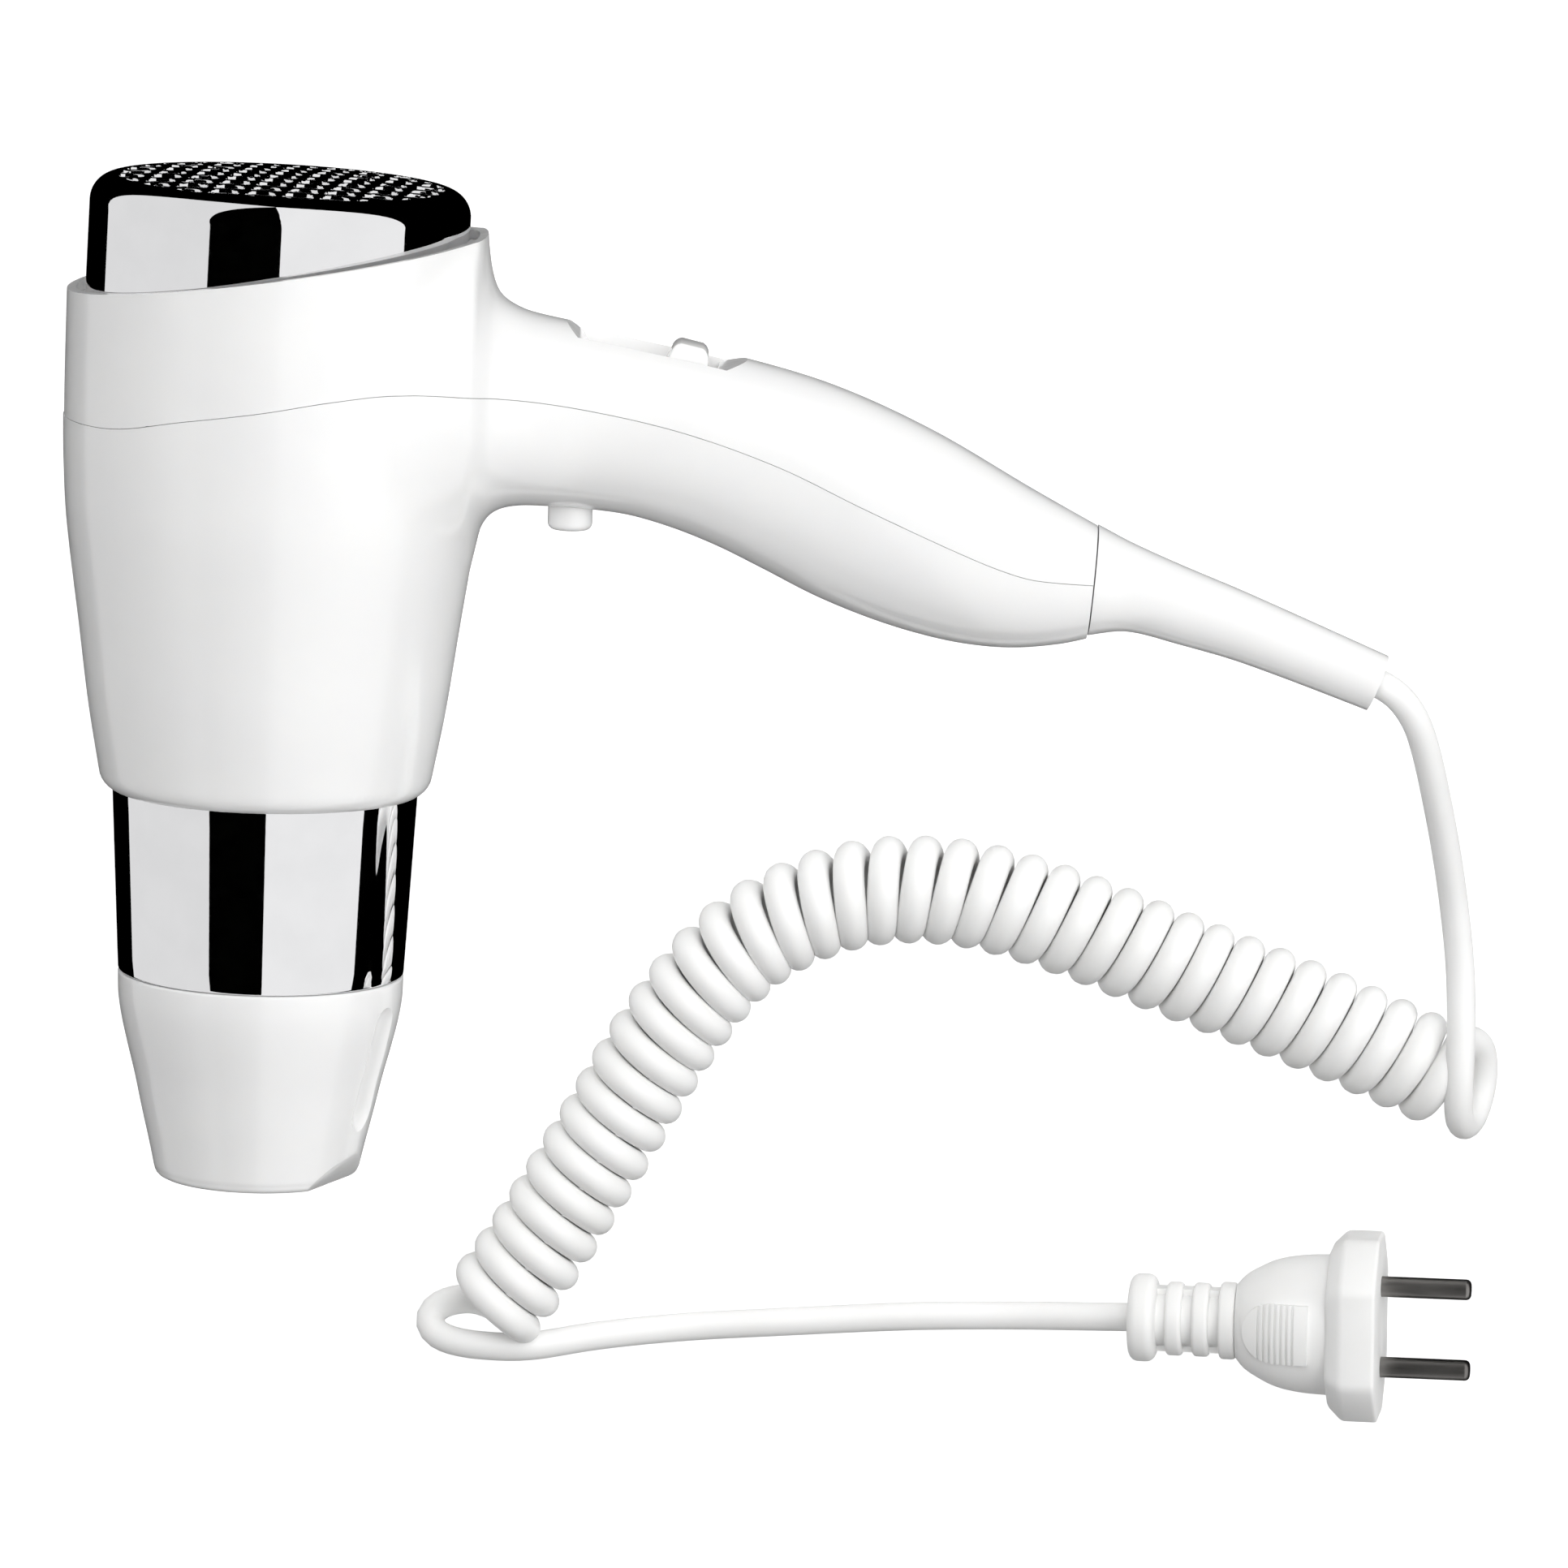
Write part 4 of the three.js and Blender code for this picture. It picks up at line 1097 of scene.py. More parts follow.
@dataclass
class Housing:
    """The two white shells of the barrel and the handle."""

    bench: Bench
    wall: float = 2.2
    gap: float = 0.12
    inset: float = 0.2
    rim_height: float = 120.3
    rim_slope: float = 8.9
    mouth_radius: float = 34.9
    corner: float = 3.8
    handle_end: float = 185.5
    screws: tuple[float, ...] = (55.0, 112.0, 160.0)
    barrel: Outline = Outline(
        ((-6, 35.9), (0, 36.8), (19, 40.2), (37, 42.7), (61, 46.0), (74, 46.9), (85, 47.2), (104, 47.2),
         (132, 46.9), (142, 46.7))
    )
    top: Outline = Outline(
        ((30, 131), (44.5, 129), (46.8, 121), (49.5, 115.2), (53.5, 112), (59, 110.2), (80, 106.6),
         (105, 101.8), (126, 96.1), (148, 86.8), (170.7, 74.4), (185.5, 66.6), (200, 59))
    )
    bottom: Outline = Outline(
        ((30, 52), (44, 58.5), (47, 63.1), (52, 66.4), (60.6, 67.1), (78, 66), (89, 63.4), (100, 59.4),
         (111, 54.3), (122, 49), (133.4, 44.6), (144.5, 41.3), (155.6, 39.1), (166.6, 38.4),
         (177.5, 39.5), (186, 41.6), (200, 46))
    )
    half_width: Outline = Outline(
        ((30, 38), (44, 31), (50, 25.5), (60, 21), (75, 19.2), (105, 19), (135, 19.5), (160, 17.5),
         (185.5, 12.2), (200, 9))
    )
    parting: Outline = Outline(
        ((-70, 85), (-36, 85), (-18, 88.6), (0, 91.6), (15, 94.2), (30, 95.4), (48, 94), (72, 90.8),
         (93, 86.4), (114, 79.5), (132, 71.4), (153, 62.2), (164, 57.8), (172, 55.6), (190, 54.2))
    )

    def solid(self, x: np.ndarray, y: np.ndarray, z: np.ndarray) -> np.ndarray:
        """Distance to the outside of barrel and handle, z measured from the barrel's axis."""
        side = (np.hypot(x, z) - self.barrel.at(y)) / np.hypot(1, self.barrel.slope(y))
        barrel = np.maximum(blend_common(side, -y, self.corner), y - 139)
        high, low, wide = self.top.at(x), self.bottom.at(x), self.half_width.at(x)
        half, power = (high - low) / 2, ROUNDNESS
        u, v = (y - (high + low) / 2) / half, z / wide
        n = (np.abs(u) ** power + np.abs(v) ** power + 1e-9) ** (1 / power)
        du = np.sign(u) * np.abs(u / n) ** (power - 1)
        dv = np.sign(v) * np.abs(v / n) ** (power - 1)
        rise, drop = self.top.slope(x), self.bottom.slope(x)
        along = du / half * ((rise + drop) / 2 + u * (rise - drop) / 2)
        along = along + dv / wide * v * self.half_width.slope(x)
        handle = (n - 1) / np.sqrt((du / half) ** 2 + (dv / wide) ** 2 + along**2 + 1e-6)
        handle = np.maximum(np.maximum(handle, x - 192), 20 - x)
        return blend_joined(barrel, handle, 4.0)

    def skin(self, name: str, offset: float, step: float) -> bpy.types.Object:
        """The housing's surface moved inwards by an offset, as an object.

        Args:
            name: the object's name.
            offset: how far inside the outer surface it lies.
            step: size of its faces.

        Returns:
            The object, closed.
        """
        edge = 2.5 * step
        spans = ((-48 - edge, 192 + edge), (-edge, 139 + edge), (-48 - edge, 48 + edge))
        grid = [np.arange(low, high, step) for low, high in spans]
        shape = surface_of(lambda x, y, z: self.solid(x, y, z) + offset, grid)
        shape.points[:, 2] += AXIS
        return make_object(name, shape, self.bench.place, tidy=False)

    def above_rim(self) -> Shape:
        """Everything above the slanted rim."""
        slope = math.tan(math.radians(self.rim_slope))
        left, right, far = -60.0, 75.0, 170.0
        base = self.rim_height
        outline = [(left, base + slope * left), (right, base + slope * right), (right, far), (left, far)]
        return prism(outline, -20, 120)

    def seam_side(self, side: int) -> Shape:
        """Everything on one side of the seam, 1 for the intake's side and -1 for the nozzle's."""
        xs = np.linspace(-70, 205, 140)
        edge = [(x, y) for x, y in zip(xs, self.parting.at(xs) + side * self.gap / 2, strict=True)]
        far = 240 * side
        return prism([*edge, (205, far), (-70, far)], -30, 130)

    def beyond_handle(self) -> Shape:
        """Everything past the slanted joint with the cord's sleeve."""
        lean, x, far = 1.7 / 25, self.handle_end, 300
        return prism([(x + lean * 30, 97), (x - lean * 60, 7), (far, 7), (far, 97)], 0, 100)

    def cavity(self, pocket: "SwitchPocket") -> bpy.types.Object:
        """The hollow inside, without the pocket's walls, the screw bosses and the cap's ledge."""
        hollow = self.skin("housing_hollow", self.wall, 2.4)
        place = self.bench.place
        slope = math.tan(math.radians(self.rim_slope))
        ledge = make_object("ledge", lathe([(43.1, 100), (60, 100), (60, 150), (43.1, 150)]), place)
        upper = prism([(-70, self.rim_height - 2.4 - 70 * slope), (90, self.rim_height - 2.4 + 90 * slope),
                       (90, 160), (-70, 160)], -20, 120)
        self.bench.carve(ledge, upper)
        combine(hollow, ledge, Cut.SUBTRACT)
        self.bench.carve(hollow, pocket.shape(POCKET_WALL))
        for x in self.screws:
            low, high = float(self.bottom.at(x)) - 5, float(self.parting.at(x)) - 1
            self.bench.carve(hollow, post(x, 0, 4.2, low, high))
        return hollow

    def shell(self, name: str, side: int, hollow: bpy.types.Object) -> bpy.types.Object:
        """One shell, cut from the housing's outside on its side of the seam."""
        piece = self.skin(name, self.inset if side > 0 else 0, 1.5)
        combine(piece, hollow, Cut.SUBTRACT, keep=True)
        self.bench.carve(piece, self.seam_side(side), Cut.KEEP_COMMON)
        self.bench.carve(piece, self.beyond_handle())
        if side > 0:
            self.bench.carve(piece, self.above_rim())
        return piece

    def build(self) -> None:
        """Makes both shells."""
        pocket = SwitchPocket()
        hollow = self.cavity(pocket)
        rear = self.shell("rear_shell_skin", 1, hollow)
        self.bench.carve(rear, pocket.shape(0))
        front = self.shell("front_shell_skin", -1, hollow)
        discard(hollow)
        mouth = lathe([(0.0, -5), (self.mouth_radius, -5), (self.mouth_radius, 9), (0.0, 9)])
        self.bench.carve(front, mouth)
        x, _, radius = BUTTON
        self.bench.carve(front, post(x, 0, radius + CLEARANCE, 50, 80, 64))
        for x in self.screws:
            low = float(self.bottom.at(x))
            hole = post(x, 0, 3.2, low - 8, low + 4, 48)
            self.bench.carve(front, hole)
        for piece, node in ((rear, "rear_shell"), (front, "front_shell")):
            merge_close(piece, 0.12)
            smooth(piece, 30)
            self.bench.hand_over(piece, Body.HANDSET, Slot.GLOSS_WHITE, (node,))


@dataclass
class SwitchPocket:
    """The pocket in the handle's back that the slide knob runs in, drawn about its floor."""

    centre: Pair = (86.0, 99.2)
    slope: float = -12.6
    half_length: float = 16.4
    ramp_foot: float = 12.6
    width: float = 20.0
    depth: float = 1.3

    def matrix(self) -> Matrix:
        """Turns a shape drawn about the floor's middle into place."""
        x, y = self.centre
        return Matrix.Translation((x, y, AXIS)) @ Matrix.Rotation(math.radians(self.slope), 4, "Z")

    def shape(self, grow: float) -> Shape:
        """The pocket's room: a long trough with a scooped end and a ramped end.

        Args:
            grow: how much larger than the pocket it is drawn, for the walls round it.

        Returns:
            The closed shape.
        """
        low, half = -self.depth - grow, self.half_length + grow
        foot = self.ramp_foot + grow
        ramp = [(foot, low), (foot + 0.3, 3.0 - grow), (foot + 7.4, 7.2), (foot + 8.4, 16)]
        scoop = [(-half - 13, 16), (-half - 12.5, 9.4), (-half - 9, 6.6), (-half - 5, 4.2),
                 (-half - 1.8, 2.2), (-half, 0.2 - grow), (-half, low)]
        side = self.width / 2 + grow
        return prism([*ramp, *scoop], -side, side).turned(self.matrix())


# ---- Intake, band and nozzle ----------------------------------------------------------------------


@dataclass
class IntakeCap:
    """The chrome cap over the intake, its top a staggered lattice of slots."""

    bench: Bench
    radius: float = 42.6
    edge: float = 138.0
    dome: float = 1.0
    shoulder: float = 6.0
    wall: float = 1.6
    corner: float = 2.3
    skirt: float = 103.0
    tilt: float = 1.5
    pivot: float = 120.3
    pitch: Pair = (8.2, 7.8)
    slot: Pair = (6.9, 5.9)
    stagger: float = 0.75
    lattice_radius: float = 36.5

    def solid(self, x: np.ndarray, y: np.ndarray, z: np.ndarray) -> np.ndarray:
        """Distance to the cap's surface, drawn upright about the barrel's axis."""
        reach = np.hypot(x, z)
        top = y - self.edge - self.dome * (1 - np.minimum(reach / (self.radius - self.shoulder), 1) ** 2)
        outer = blend_common(reach - self.radius, top, self.shoulder)
        shell = np.abs(outer + self.wall / 2) - self.wall / 2
        row = np.round(z / self.pitch[1])
        along = x + self.stagger * row
        column = np.round(along / self.pitch[0])
        across = np.abs(along - column * self.pitch[0]) - self.slot[0] / 2
        deep = np.abs(z - row * self.pitch[1]) - self.slot[1] / 2
        hole = blend_common(blend_common(across, deep, self.corner), reach - self.lattice_radius, 0.8)
        hole = np.maximum(hole, self.edge - 6 - y)
        return np.maximum(blend_common(shell, -hole, 0.4), self.skirt - y)

    def build(self) -> None:
        """Makes the cap."""
        fine = 0.62
        flat = np.arange(-44, 44 + fine, fine)
        tall = np.concatenate([np.arange(100.2, 129, 1.6), np.arange(129.2, 142, fine * 0.8)])
        shape = surface_of(self.solid, (flat, tall, flat))
        turn = Matrix.Rotation(math.radians(-self.tilt), 4, "Z")
        lean = Matrix.Translation((0, self.pivot, AXIS)) @ turn
        leaning = shape.turned(lean @ Matrix.Translation((0, -self.pivot, 0)))
        piece = make_object("chrome_intake_cap", leaning, self.bench.place)
        smooth(piece, 50)
        self.bench.hand_over(piece, Body.HANDSET, Slot.CHROME, ("intake_cap",))


@dataclass
class ChromeBand:
    """The chrome band between the housing and the nozzle."""

    bench: Bench
    top_radius: float = 34.4
    end_radius: float = 32.3
    length: float = 41.2
    wall: float = 1.0

    def build(self) -> None:
        """Makes the band, its lower edge rolled over."""
        roll = self.wall / 2
        slope = (self.top_radius - self.end_radius) / self.length
        heights = np.linspace(0, -self.length + roll, 12)
        outer = [(self.top_radius + slope * y, float(y)) for y in heights]
        edge = arc((self.end_radius - roll, -self.length + roll), roll, 0, -180, 9)
        inner = [(r - self.wall, y) for r, y in reversed(outer)]
        tuck = [(self.top_radius - self.wall, BAND_TUCK), (self.top_radius, BAND_TUCK)]
        shape = lathe([*outer[:-1], *edge, *inner[1:], *tuck], 160)
        self.bench.build("chrome_band_skin", shape, Body.HANDSET, Slot.CHROME, ("chrome_band",))


@dataclass
class Nozzle:
    """The white nozzle that turns in the band, with two facets and two thumb grooves."""

    bench: Bench
    azimuth: float = 66.0
    mouth: float = -88.5
    outer: Outline = Outline(
        ((-86.9, 23.1), (-81, 24.4), (-73, 26.3), (-65, 28.1), (-58, 29.9), (-52, 31.3), (-47, 32.1),
         (-41.5, 32.3))
    )
    bore: Outline = Outline(((-85, 18.3), (-50, 27.6), (-44, 29.2), (-34.5, 29.2)))
    groove: Pair = (10.5, 7.3)

    def body(self) -> Shape:
        """The nozzle without its facets and grooves."""
        skin_line = [(float(self.outer.at(y)), float(y)) for y in np.linspace(-41.9, -86.6, 44)]
        lip = arc((21.2, self.mouth + 1.9), 1.9, 0, -90) + arc((18.9, self.mouth + 1.4), 1.4, -90, -180)
        bore_line = [(float(self.bore.at(y)), float(y)) for y in np.linspace(-84, -34.5, 30)]
        spigot = [(30.4, -34.5), (30.7, -34.9), (30.7, -41.3), (31.9, -41.5)]
        return lathe([*spigot, *skin_line, *lip, *bore_line], 160)

    def around(self, turn: float) -> Matrix:
        """Turns a shape drawn in the plane of X and Y to one side of the nozzle."""
        spin = Matrix.Rotation(math.radians(self.azimuth - 90 + turn), 4, "Y")
        return Matrix.Translation((0, 0, AXIS)) @ spin

    def build(self) -> None:
        """Makes the nozzle."""
        piece = make_object("white_nozzle", self.body(), self.bench.place)
        length, radius = self.groove
        ends = arc((0, -length), radius, -90, 0, 9) + arc((0, length), radius, 0, 90, 9)
        capsule = lathe(ends, 48).turned(Matrix.Translation((0, 0, -AXIS)))
        for turn in (0, 180):
            side = self.around(turn)
            facet = side @ Matrix.Translation((21.2, self.mouth + 3.2, 0)) @ Matrix.Rotation(-0.66, 4, "Z")
            hollow = side @ Matrix.Translation((34.6, -62, 0)) @ Matrix.Rotation(-0.25, 4, "Z")
            cutter = block((0, -20, -30), (30, 20, 30)).turned(facet)
            self.bench.carve(piece, cutter)
            self.bench.carve(piece, capsule.turned(hollow))
        merge_close(piece, 0.02)
        soften(piece, 0.35, 2, 28)
        smooth(piece, 30)
        self.bench.hand_over(piece, Body.NOZZLE, Slot.GLOSS_WHITE, ("nozzle",))


# ---- Fan, heater and grille -----------------------------------------------------------------------


@dataclass
class AirPath:
    """What shows through the intake's lattice and the nozzle's mouth."""

    bench: Bench
    fan: tuple[float, float, float, float, int] = (15.0, 38.6, 99.0, 111.0, 9)

    def ring(
        self, name: str, piece: Shape, count: int, body: Body, slot: Slot, replaces: Sequence[str]
    ) -> None:
        """Sets copies of a piece, drawn round the origin, in a ring about the barrel's axis."""
        source = make_object(name + "_source", piece, Place(np.zeros(3)))
        smooth(source, 40)
        centre = self.bench.vector(0, 0, AXIS)
        self.bench.grow(name, ring_tree(), body, slot, replaces, Piece=source, Count=count, Centre=centre)
        discard(source)

    def blade(self) -> Shape:
        """One twisted fan blade."""
        hub, tip, low, high, _ = self.fan
        rings = []
        for share in np.linspace(0, 1, 9):
            reach = hub - 0.6 + share * (tip - hub + 0.6)
            pitch = math.radians(52 - 24 * share)
            half = (high - low - 1) / 2 / math.sin(math.radians(52)) * (0.92 + 0.2 * share)
            along = np.linspace(-1, 1, 9)
            thick = 0.7 * np.sqrt(1.02 - along**2)
            bow = 1.6 * (1 - along**2)
            upper = np.stack([along * half, bow + thick], 1)
            lower = np.stack([along * half, bow - thick], 1)[::-1]
            section = np.vstack([upper, lower])
            side = section[:, 0] * math.cos(pitch) + section[:, 1] * math.sin(pitch)
            up = section[:, 0] * math.sin(pitch) - section[:, 1] * math.cos(pitch)
            rings.append(np.stack([np.full(len(side), reach), (low + high) / 2 + up * 0.78, side], 1))
        return skin(rings)

    def build(self) -> None:
        """Makes the fan, the gauze, the heater's wire and the grille."""
        hub, _, low, high, count = self.fan
        self.ring("fan_blades", self.blade(), count, Body.ROTOR, Slot.BLACK_PLASTIC, ("fan_impeller",))
        crown = arc((hub - 3, high - 1), 3, 0, 90)
        shape = lathe([(1.7, low), (hub, low), *crown, (1.7, high + 2)], 64)
        self.bench.build("fan_hub", shape, Body.ROTOR, Slot.BLACK_PLASTIC)
        self.bench.grow(
            "woven_gauze", gauze_tree(), Body.HANDSET, Slot.GAUZE, ("dust_filter_gauze",),
            Width=79.4 * MM, Count=48, Wire=0.16 * MM, Centre=self.bench.vector(0, 125.6, AXIS),
        )
        self.bench.grow(
            "heater_spiral", spiral_tree(), Body.HANDSET, Slot.HEATER_WIRE, ("heating_wire",), 60,
            Turns=9.0, Radius=25.8 * MM, Height=58 * MM, Wire=0.55 * MM, Base=self.bench.vector(0, -19, AXIS),
        )
        self.grille()

    def grille(self) -> None:
        """Makes the grille: rings and a hub from lathed pieces, and a ring of spokes."""
        low, high = -31.5, -29.5
        whole = lathe([(0.0, low), (4, low), (4, high), (0.0, high)], 48)
        for inner, outer in ((11, 12.4), (19.8, 21.2), (28.8, 30.6)):
            whole = whole.with_shape(lathe([(inner, low), (outer, low), (outer, high), (inner, high)], 96))
        self.bench.build("grille_rings", whole, Body.HANDSET, Slot.BLACK_PLASTIC, ("outlet_grille",), 0.25)
        spoke = block((3.5, low + 0.2, -0.6), (29.2, high - 0.2, 0.6))
        self.ring("grille_spokes", spoke, 6, Body.HANDSET, Slot.BLACK_PLASTIC, ())


# ---- Switches and screws --------------------------------------------------------------------------


@dataclass
class Controls:
    """The slide switch's plate, marks and knob, the push button and the housing's screws."""

    bench: Bench
    pocket: SwitchPocket = field(default_factory=SwitchPocket)
    rest: float = 6.4
    travel: float = 17.4
    marks_side: float = -6.0
    spring: Point = (5.4, 12.0, 2.2)

    def build(self) -> None:
        """Makes each control."""
        self.plate()
        self.knob()
        self.push_button()
        self.screws()

    def plate(self) -> None:
        """Makes the plate with its slit and the three position marks."""
        place, matrix = self.bench.place, self.pocket.matrix()
        start, end = -(self.pocket.half_length - CLEARANCE), self.pocket.ramp_foot - CLEARANCE
        side = self.pocket.width / 2 - CLEARANCE
        plate = make_object("plate_skin", block((start, -1, -side), (end, 0, side)).turned(matrix), place)
        slit = block((self.rest - self.travel - 2.1, -5, -1.9), (self.rest + 2.1, 5, 1.9)).turned(matrix)
        self.bench.carve(plate, slit)
        soften(plate, 0.25, 2)
        smooth(plate)
        self.bench.hand_over(plate, Body.HANDSET, Slot.SATIN_WHITE, ("switch_plate",))
        step, low, high = self.travel / 2, -0.05, 0.1
        off = lathe([(1.05, low), (1.5, low), (1.5, high), (1.05, high)], 40)
        marks = off.turned(Matrix.Translation((self.rest - 2 * step, 0, -AXIS + self.marks_side)))
        near, far = self.marks_side - 1.5, self.marks_side + 1.5
        for shift in (-step, -0.7, 0.7):
            at = self.rest + shift
            marks = marks.with_shape(block((at - 0.25, low, near), (at + 0.25, high, far)))
        self.bench.build("switch_marks", marks.turned(matrix), Body.HANDSET, Slot.BLACK_PLASTIC)

    def knob(self) -> None:
        """Makes the tapered knob with its rounded crown and its stem."""
        crown = arc((1.1, 4.5), 2.6, 70, 0, 5)[::-1] + arc((-2.1, 4.5), 2.6, 110, 180, 5)
        outline = [(-5.3, 0.3), (4.7, 0.3), (4.6, 1.2), *crown, (-5.6, 1.2)]
        body = make_object("knob_skin", prism(outline, -6, 6).turned(self.moved()), self.bench.place)
        soften(body, 0.7, 4, 30)
        stem = block((-1.5, -8, -1.5), (1.5, 1, 1.5)).turned(self.moved())
        self.bench.carve(body, stem, Cut.JOIN)
        smooth(body, 40)
        self.bench.hand_over(body, Body.KNOB, Slot.GLOSS_WHITE, ("slide_knob",))

    def moved(self) -> Matrix:
        """Turns a shape drawn about the knob's foot into place."""
        return self.pocket.matrix() @ Matrix.Translation((self.rest, 0, 0))

    def push_button(self) -> None:
        """Makes the button with its flange and post, and the spring behind it."""
        x, y, radius = BUTTON
        low = y - 5.2
        dish = [(0.0, low + 0.35), (1.2, low + 0.28), (2.4, low + 0.08), (3.2, low)]
        rim = arc((radius - 1.6, low + 1.6), 1.6, -85, 0, 7)
        back = [(radius, y + 4), (radius + 1.4, y + 4.3), (radius + 1.4, y + 5.4), (1.6, y + 5.4)]
        shape = lathe([*dish, *rim, *back, (1.6, y + 9.8), (0.0, y + 9.8)], 64)
        self.bench.build(
            "round_button", shape.turned(Matrix.Translation((x, 0, 0))), Body.BUTTON, Slot.GLOSS_WHITE,
            ("push_button",),
        )
        seat, end, travel = self.spring
        spring = self.bench.grow(
            "button_spring_coil", spiral_tree(), Body.HANDSET, Slot.STEEL, ("button_spring",), 60,
            Turns=4.5, Radius=2.75 * MM, Height=(end - seat - 0.8) * MM, Wire=0.32 * MM,
            Base=self.bench.vector(x, y + seat + 0.4, AXIS),
        )
        tuple(self.bench.vector(x, y + end, AXIS))
        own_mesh(spring)

    def screws(self) -> None:
        """Makes the three cross-head screws in the handle's wells."""
        housing = Housing(self.bench)
        for number, x in enumerate(housing.screws, 1):
            face = float(housing.bottom.at(x)) + 4
            head = [(0.0, face), (1.6, face + 0.1), (2.5, face + 0.5), (2.8, face + 1.1), (2.8, face + 2)]
            end = float(housing.parting.at(x)) + 5
            shape = lathe([*head, (1.5, face + 2.3), (1.5, end), (0.0, end + 1)], 40)
            screw = make_object(f"cross_screw_{number}", shape, self.bench.place)
            for wide, tall in ((1.7, 0.35), (0.35, 1.7)):
                cross = block((-wide, face - 1, AXIS - tall), (wide, face + 1.2, AXIS + tall))
                self.bench.carve(screw, cross)
            for point in screw.data.vertices:
                point.co.x += x * MM
            smooth(screw)
            self.bench.hand_over(screw, Body.HANDSET, Slot.STEEL, (f"housing_screw_{number}",))


# ---- Sleeve and plug ------------------------------------------------------------------------------


@dataclass
class CordSleeve:
    """The white sleeve that the lead leaves the handle through."""

    bench: Bench
    end: Pair = (249.7, 32.9)
    slope: float = -20.5
    top: Outline = Outline(((176, 71), (185.5, 66.7), (193, 63), (204, 58.4), (220, 52.2), (258, 36.5)))
    bottom: Outline = Outline(((176, 40), (185.5, 42), (193, 42.8), (204, 40.4), (220, 36.2), (258, 23)))
    half_width: Outline = Outline(
        ((176, 14.5), (185.5, 12.2), (193, 9.6), (204, 8.4), (220, 7.8), (258, 6.6))
    )

    def loft(self, start: float, stop: float, inset: float) -> Shape:
        """The sleeve's surface between two places along X, moved inwards by an inset."""
        rings = []
        for x in np.linspace(start, stop, max(3, round((stop - start) / 1.6))):
            high, low = float(self.top.at(x)) - inset, float(self.bottom.at(x)) + inset
            section = oval_ring((high - low) / 2, float(self.half_width.at(x)) - inset, ROUNDNESS, 64)
            y, z = (high + low) / 2 + section[:, 0], AXIS + section[:, 1]
            rings.append(np.stack([np.full(len(section), x), y, z], 1))
        return skin(rings)

    def build(self) -> None:
        """Makes the sleeve with its slanted ends and the hole for the cord."""
        place = self.bench.place
        sleeve = make_object("sleeve_skin", self.loft(176, 258, 0), place)
        keep = Housing(self.bench).beyond_handle()
        keep.points[:, 0] += CLEARANCE
        tall = prism([(184, -40), (300, -40), (300, 140), (184, 140)], -20, 120)
        self.bench.carve(sleeve, keep, Cut.KEEP_COMMON)
        turn = Matrix.Translation((*self.end, 0)) @ Matrix.Rotation(math.radians(self.slope), 4, "Z")
        past = tall.turned(turn @ Matrix.Translation((-184, -50, 0)))
        self.bench.carve(sleeve, past)
        soften(sleeve, 0.5, 3, 40)
        ahead = np.array([math.cos(math.radians(self.slope)), math.sin(math.radians(self.slope)), 0])
        middle = np.array([*self.end, AXIS])
        bore = tube(np.array([middle - 9 * ahead, middle, middle + 6 * ahead]), 3.6, 40)
        self.bench.carve(sleeve, bore)
        self.bench.carve(sleeve, self.loft(178, 190, 4.4), Cut.JOIN)
        smooth(sleeve, 40)
        self.bench.hand_over(sleeve, Body.HANDSET, Slot.GLOSS_WHITE, ("cord_sleeve",))


